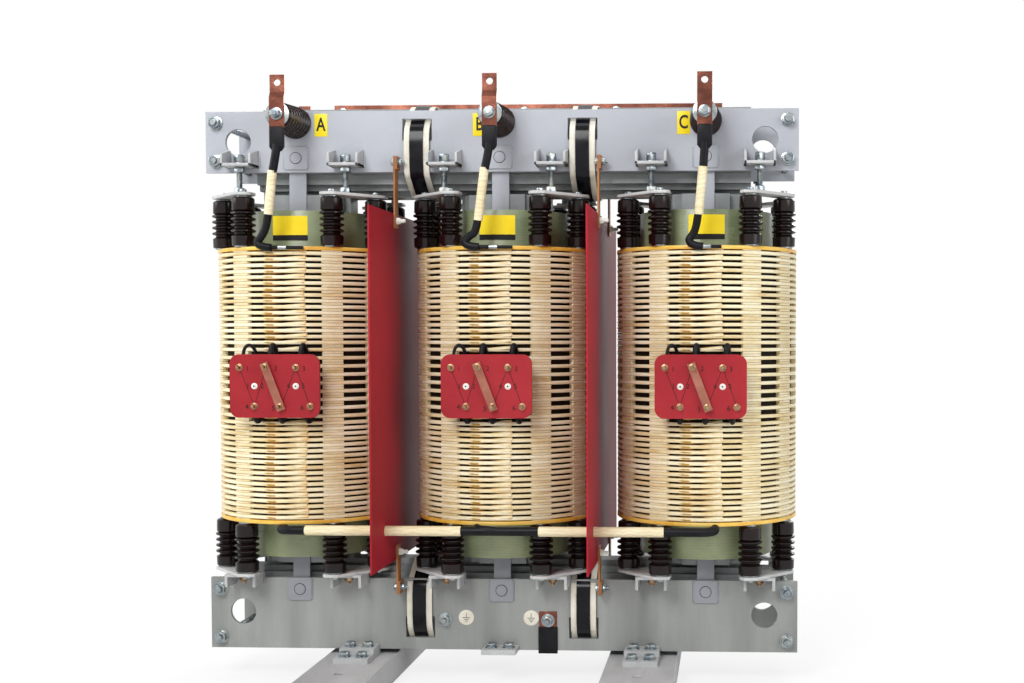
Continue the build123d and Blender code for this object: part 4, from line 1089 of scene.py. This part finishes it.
bandPlaces = []
for side in (-1, 1):
    x = side * band["x"]
    bandPlaces += [at(x, 0, band["upper"]), at(x, 0, band["lower"]) @ upsideDown]
liner = addBand("liner", band["linerWidth"], band["linerThick"])
strap = addBand("strap", band["width"], band["thick"])
for vertex in strap.data.vertices:
    outward = Vector((0, vertex.co.y, vertex.co.z)).normalized()
    vertex.co += outward * band["lift"]
finishPiece(copyMany(liner, "bandLiners", bandPlaces), linerCream, ["band_liners"])
finishPiece(copyMany(strap, "yokeBands", bandPlaces), bandBlack, ["yoke_bands"])
print("bands made")


# fastenings of the barriers

hanger = {"faces": (-0.2875, 0.2745), "y": -0.1517, "lugs": (1.444, 0.268), "laps": (1.283, 0.366)}
lugBolt = addBolt("lugBolt", {
    "washers": [(0.0115, 0.002)], "across": 0.017, "nut": 0.008, "thread": 0.005, "end": 0.008})
lugBacks = addBolt("lugBack", {"washers": [(0.0115, 0.002)], "across": 0.017, "nut": 0.007})
lugPlaces, backPlaces, nylonPlaces, headPlaces = [], [], [], []
for face in hanger["faces"]:
    for z in hanger["lugs"]:
        lugPlaces.append(at(face + 0.010, hanger["y"], z) @ towardsRight)
        backPlaces.append(at(face, hanger["y"], z) @ towardsLeft)
    for z in hanger["laps"]:
        nylonPlaces.append(at(face + 0.005, hanger["y"], z) @ towardsRight)
        headPlaces.append(at(face - 0.005, hanger["y"], z) @ towardsLeft)
lugParts = joinPieces("lugParts", [
    copyMany(lugBolt, "lugBolts", frontAndRear(lugPlaces)),
    copyMany(lugBacks, "lugBacks", frontAndRear(backPlaces))])
finishPiece(lugParts, zinc)
nylonBolt = addBolt("nylonBolt", {
    "washers": [(0.010, 0.002)], "across": 0.0165, "nut": 0.008, "thread": 0.0058, "end": 0.014})
nylonHead = addBolt("nylonHead", {"washers": [(0.011, 0.002)], "across": 0.0165, "nut": 0.007})
nylonParts = joinPieces("nylonBolts", [
    copyMany(nylonBolt, "nylonEnds", frontAndRear(nylonPlaces)),
    copyMany(nylonHead, "nylonHeads", frontAndRear(headPlaces))])
finishPiece(nylonParts, nylonWhite)
print("barrier fastenings made")


# signs and earth points

sign = {
    "letters": {"a": ("A", -0.499, 1.551), "b": ("B", -0.056, 1.550), "c": ("C", 0.509, 1.552)},
    "width": 0.036, "height": 0.063, "letterSize": 0.056,
    "plate": {"a": (-0.048, 0.049), "b": (-0.047, 0.052), "c": (-0.046, 0.053)},
    "bottom": 1.228, "top": 1.295, "blackTop": 1.2425,
}
for letter, (text, x, z) in sign["letters"].items():
    tag = addBlock("phaseTag_" + letter, (x - sign["width"] / 2, -clampFace - 0.0008, z - sign["height"] / 2),
                   (x + sign["width"] / 2, -clampFace + 0.0002, z + sign["height"] / 2), 0.0003, 2)
    finishPiece(tag, signYellow)
    mark = addWord("phaseLetter_" + letter, text, sign["letterSize"], 0.0003, 0.0010)
    activate(mark)
    editAll()
    bpy.ops.transform.resize(value=(0.66, 0.92, 1), center_override=(0, 0, 0))
    leaveEdit()
    mark.data.transform(at(x, -clampFace - 0.0009, z) @ towardsFront)
    finishPiece(mark, signBlack)


def addCurvedPlate(name, left, right, bottom, top):
    freshStart()
    bpy.ops.mesh.primitive_grid_add(x_subdivisions=14, y_subdivisions=1, size=1, rotation=(quarter, 0, 0))
    piece = rename(name)
    piece.scale = (right - left, top - bottom, 1)
    piece.location = ((left + right) / 2, 0, (bottom + top) / 2)
    settle(piece)
    addShell(piece, 0.0008, 0.0)
    applyModifiers(piece)
    return smooth(curlRound(piece, coil["cylinder"] + 0.0007), 30)


for letter, x in phases.items():
    for name, finish, low, high in (("plateYellow_", signYellow, "blackTop", "top"),
                                    ("plateBlack_", signBlack, "bottom", "blackTop")):
        part = addCurvedPlate(name + letter, *sign["plate"][letter], sign[low], sign[high])
        part.data.transform(at(x, 0, 0))
        finishPiece(part, finish)

earth = {"discs": (-0.100, 0.0825), "z": 0.178, "radius": 0.0215, "studs": (-0.159, 0.130), "studZ": 0.172}
earthDisc = addRod("earthDisc", earth["radius"], 0.0, 0.0012, 40, 0.0004)
earthDiscs = copyMany(earthDisc, "earthDiscs", [onFace(x, earth["z"]) for x in earth["discs"]])
finishPiece(earthDiscs, linerCream)
strokes = [((-0.0007, 0.000), (0.0007, 0.013)), ((-0.0105, -0.0012), (0.0105, 0.0004)),
           ((-0.0070, -0.0062), (0.0070, -0.0046)), ((-0.0035, -0.0112), (0.0035, -0.0096))]
symbol = joinPieces("earthSymbol", [
    addBlock("stroke", (low[0], -0.0003, low[1]), (high[0], 0.0003, high[1]), 0.0001, 1)
    for low, high in strokes])
symbols = copyMany(symbol, "earthSymbols", [at(x, -clampFace - 0.0013, earth["z"]) for x in earth["discs"]])
finishPiece(symbols, signBlack)
earthBolt = addBolt("earthBolt", {
    "washers": [(0.019, 0.0025), (0.015, 0.0025)], "across": 0.025, "nut": 0.011, "thread": 0.0078,
    "end": 0.0085})
earthBolts = copyMany(earthBolt, "earthBolts", [
    onFace(earth["studs"][0], earth["studZ"]),
    at(earth["studs"][1], -clampFace - 0.003, earth["studZ"]) @ towardsFront])
finishPiece(earthBolts, zinc, ["earth_terminals"])
lug = addBlock("earthLug", (0.105, -clampFace - 0.003, 0.150), (0.155, -clampFace, 0.197), 0.0008, 2)
finishPiece(lug, copper)
sleeve = addBlock("earthSleeve", (0.103, -clampFace - 0.0055, 0.079), (0.157, -clampFace, 0.154), 0.0016, 3)
finishPiece(sleeve, blackSleeve)
print("signs and earth points made")


# low voltage side

bus = {"middles": [-0.523 + index * 0.274 for index in range(4)], "front": 0.1517, "rear": 0.1597, "z": 1.633,
       "postZ": 1.540}
busBolt = addBolt("busBolt", {
    "washers": [(0.0145, 0.0022)], "across": 0.021, "nut": 0.010, "thread": 0.0065, "end": 0.004})
busPlaces = []
for x in bus["middles"]:
    busPlaces += [at(x, bus["front"], bus["z"]) @ towardsFront, at(x, bus["rear"], bus["z"]) @ towardsRear]
for x in phases.values():
    busPlaces += [at(x - 0.070, 0.1677, z) @ towardsRear for z in (1.598, 1.632)]
    busPlaces.append(at(x, 0.230, bus["postZ"]) @ towardsRear)
finishPiece(copyMany(busBolt, "busBolts", busPlaces), zinc)

busBlock = addBlock("busBlock", (-0.022, clampFace, 1.575), (0.022, bus["front"], 1.590), 0.002, 3)
busBlocks = copyMany(busBlock, "busBlocks", [at(x, 0, 0) for x in bus["middles"]])
shortPost = [(0.0, 0.028), (0.003, 0.030), (0.016, 0.030), (0.022, 0.024), (0.028, 0.024), (0.034, 0.030),
             (0.042, 0.030), (0.048, 0.024), (0.054, 0.024), (0.060, 0.030), (0.070, 0.030), (0.076, 0.024),
             (0.082, 0.027), (0.0923, 0.027)]
shortPosts = copyMany(addTurned("shortPost", shortPost, 28), "shortPosts", [
    at(x, clampFace, bus["postZ"]) @ towardsRear for x in phases.values()])
finishPiece(joinPieces("lvSupports", [busBlocks, shortPosts]), porcelain, ["lv_supports"])
print("low voltage side made")


# camera, lamps and floor

camera = bpy.data.objects.new("camera", bpy.data.cameras.new("camera"))
bpy.context.scene.collection.objects.link(camera)
camera.location = (0.6419, -3.7212, 0.9658)
camera.rotation_euler = (quarter - 0.03453, 0, 0.03874)
camera.data.lens = 45.701
camera.data.shift_x = -0.16538
camera.data.shift_y = 0.03852
bpy.context.scene.camera = camera

lamps = {
    "front": {"at": (-1.1, -4.3, 3.9), "size": 2.0, "power": 180},
    "right": {"at": (3.8, -3.0, 2.2), "size": 2.0, "power": 60},
    "left": {"at": (-4.0, -1.0, 2.4), "size": 2.0, "power": 60},
    "above": {"at": (0.0, 0.4, 4.4), "size": 3.0, "power": 60},
    "rear": {"at": (1.6, 4.4, 3.2), "size": 2.4, "power": 130},
}
for name, lamp in lamps.items():
    light = bpy.data.objects.new(name + "Lamp", bpy.data.lights.new(name + "Lamp", "AREA"))
    bpy.context.scene.collection.objects.link(light)
    light.location = lamp["at"]
    light.data.size = lamp["size"]
    light.data.energy = lamp["power"]
    aim = Vector((0, 0, 0.8)) - light.location
    light.rotation_euler = aim.to_track_quat("-Z", "Y").to_euler()


def whiteRays(tree):  # 1 for camera, glossy and transmission rays, 0 for the others
    path = addNode(tree, "LightPath").outputs
    either = addMath(tree, "MAXIMUM", path["Is Camera Ray"], path["Is Glossy Ray"])
    return addMath(tree, "MAXIMUM", either, path["Is Transmission Ray"])


def blend(tree, share, one, two, output):
    mix = addNode(tree, "MixShader", {"Fac": share, 1: one, 2: two})
    feed(tree, tree.nodes[output], {"Surface": mix.outputs["Shader"]})


world = bpy.data.worlds.new("studio")
bpy.context.scene.world = world
world.use_nodes = True
sky = world.node_tree
ambient = feed(sky, sky.nodes["Background"], {"Color": (0.97, 0.98, 1.0, 1), "Strength": 0.34})
seen = addNode(sky, "Background", {"Color": (1, 1, 1, 1), "Strength": 1.0})
blend(sky, whiteRays(sky), ambient.outputs["Background"], seen.outputs["Background"], "World Output")

freshStart()
bpy.ops.mesh.primitive_circle_add(vertices=64, radius=14, fill_type="NGON", location=(0, 0, -0.0005))
floor = settle(rename("floor"))
floorFinish = bpy.data.materials.new("floorFinish")
floorFinish.use_nodes = True
ground = floorFinish.node_tree
matt = feed(ground, ground.nodes["Principled BSDF"], {"Roughness": 0.9, "Base Color": (0.86, 0.86, 0.86, 1)})
glow = addNode(ground, "Emission", {"Color": (1, 1, 1, 1), "Strength": 1.0})
floorPlace = addNode(ground, "TexCoord").outputs["Object"]
away = addNode(ground, "VectorMath", {0: floorPlace}, operation="LENGTH").outputs["Value"]
fade = addRange(ground, away, 0.9, 2.8, (0.80, 1.0))  # shadow near the object, white floor beyond
share = addMath(ground, "MULTIPLY", whiteRays(ground), fade)
blend(ground, share, matt.outputs["BSDF"], glow.outputs["Emission"], "Material Output")
floor.data.materials.append(floorFinish)
bpy.context.scene.view_settings.view_transform = "Standard"
print("camera and lamps set")
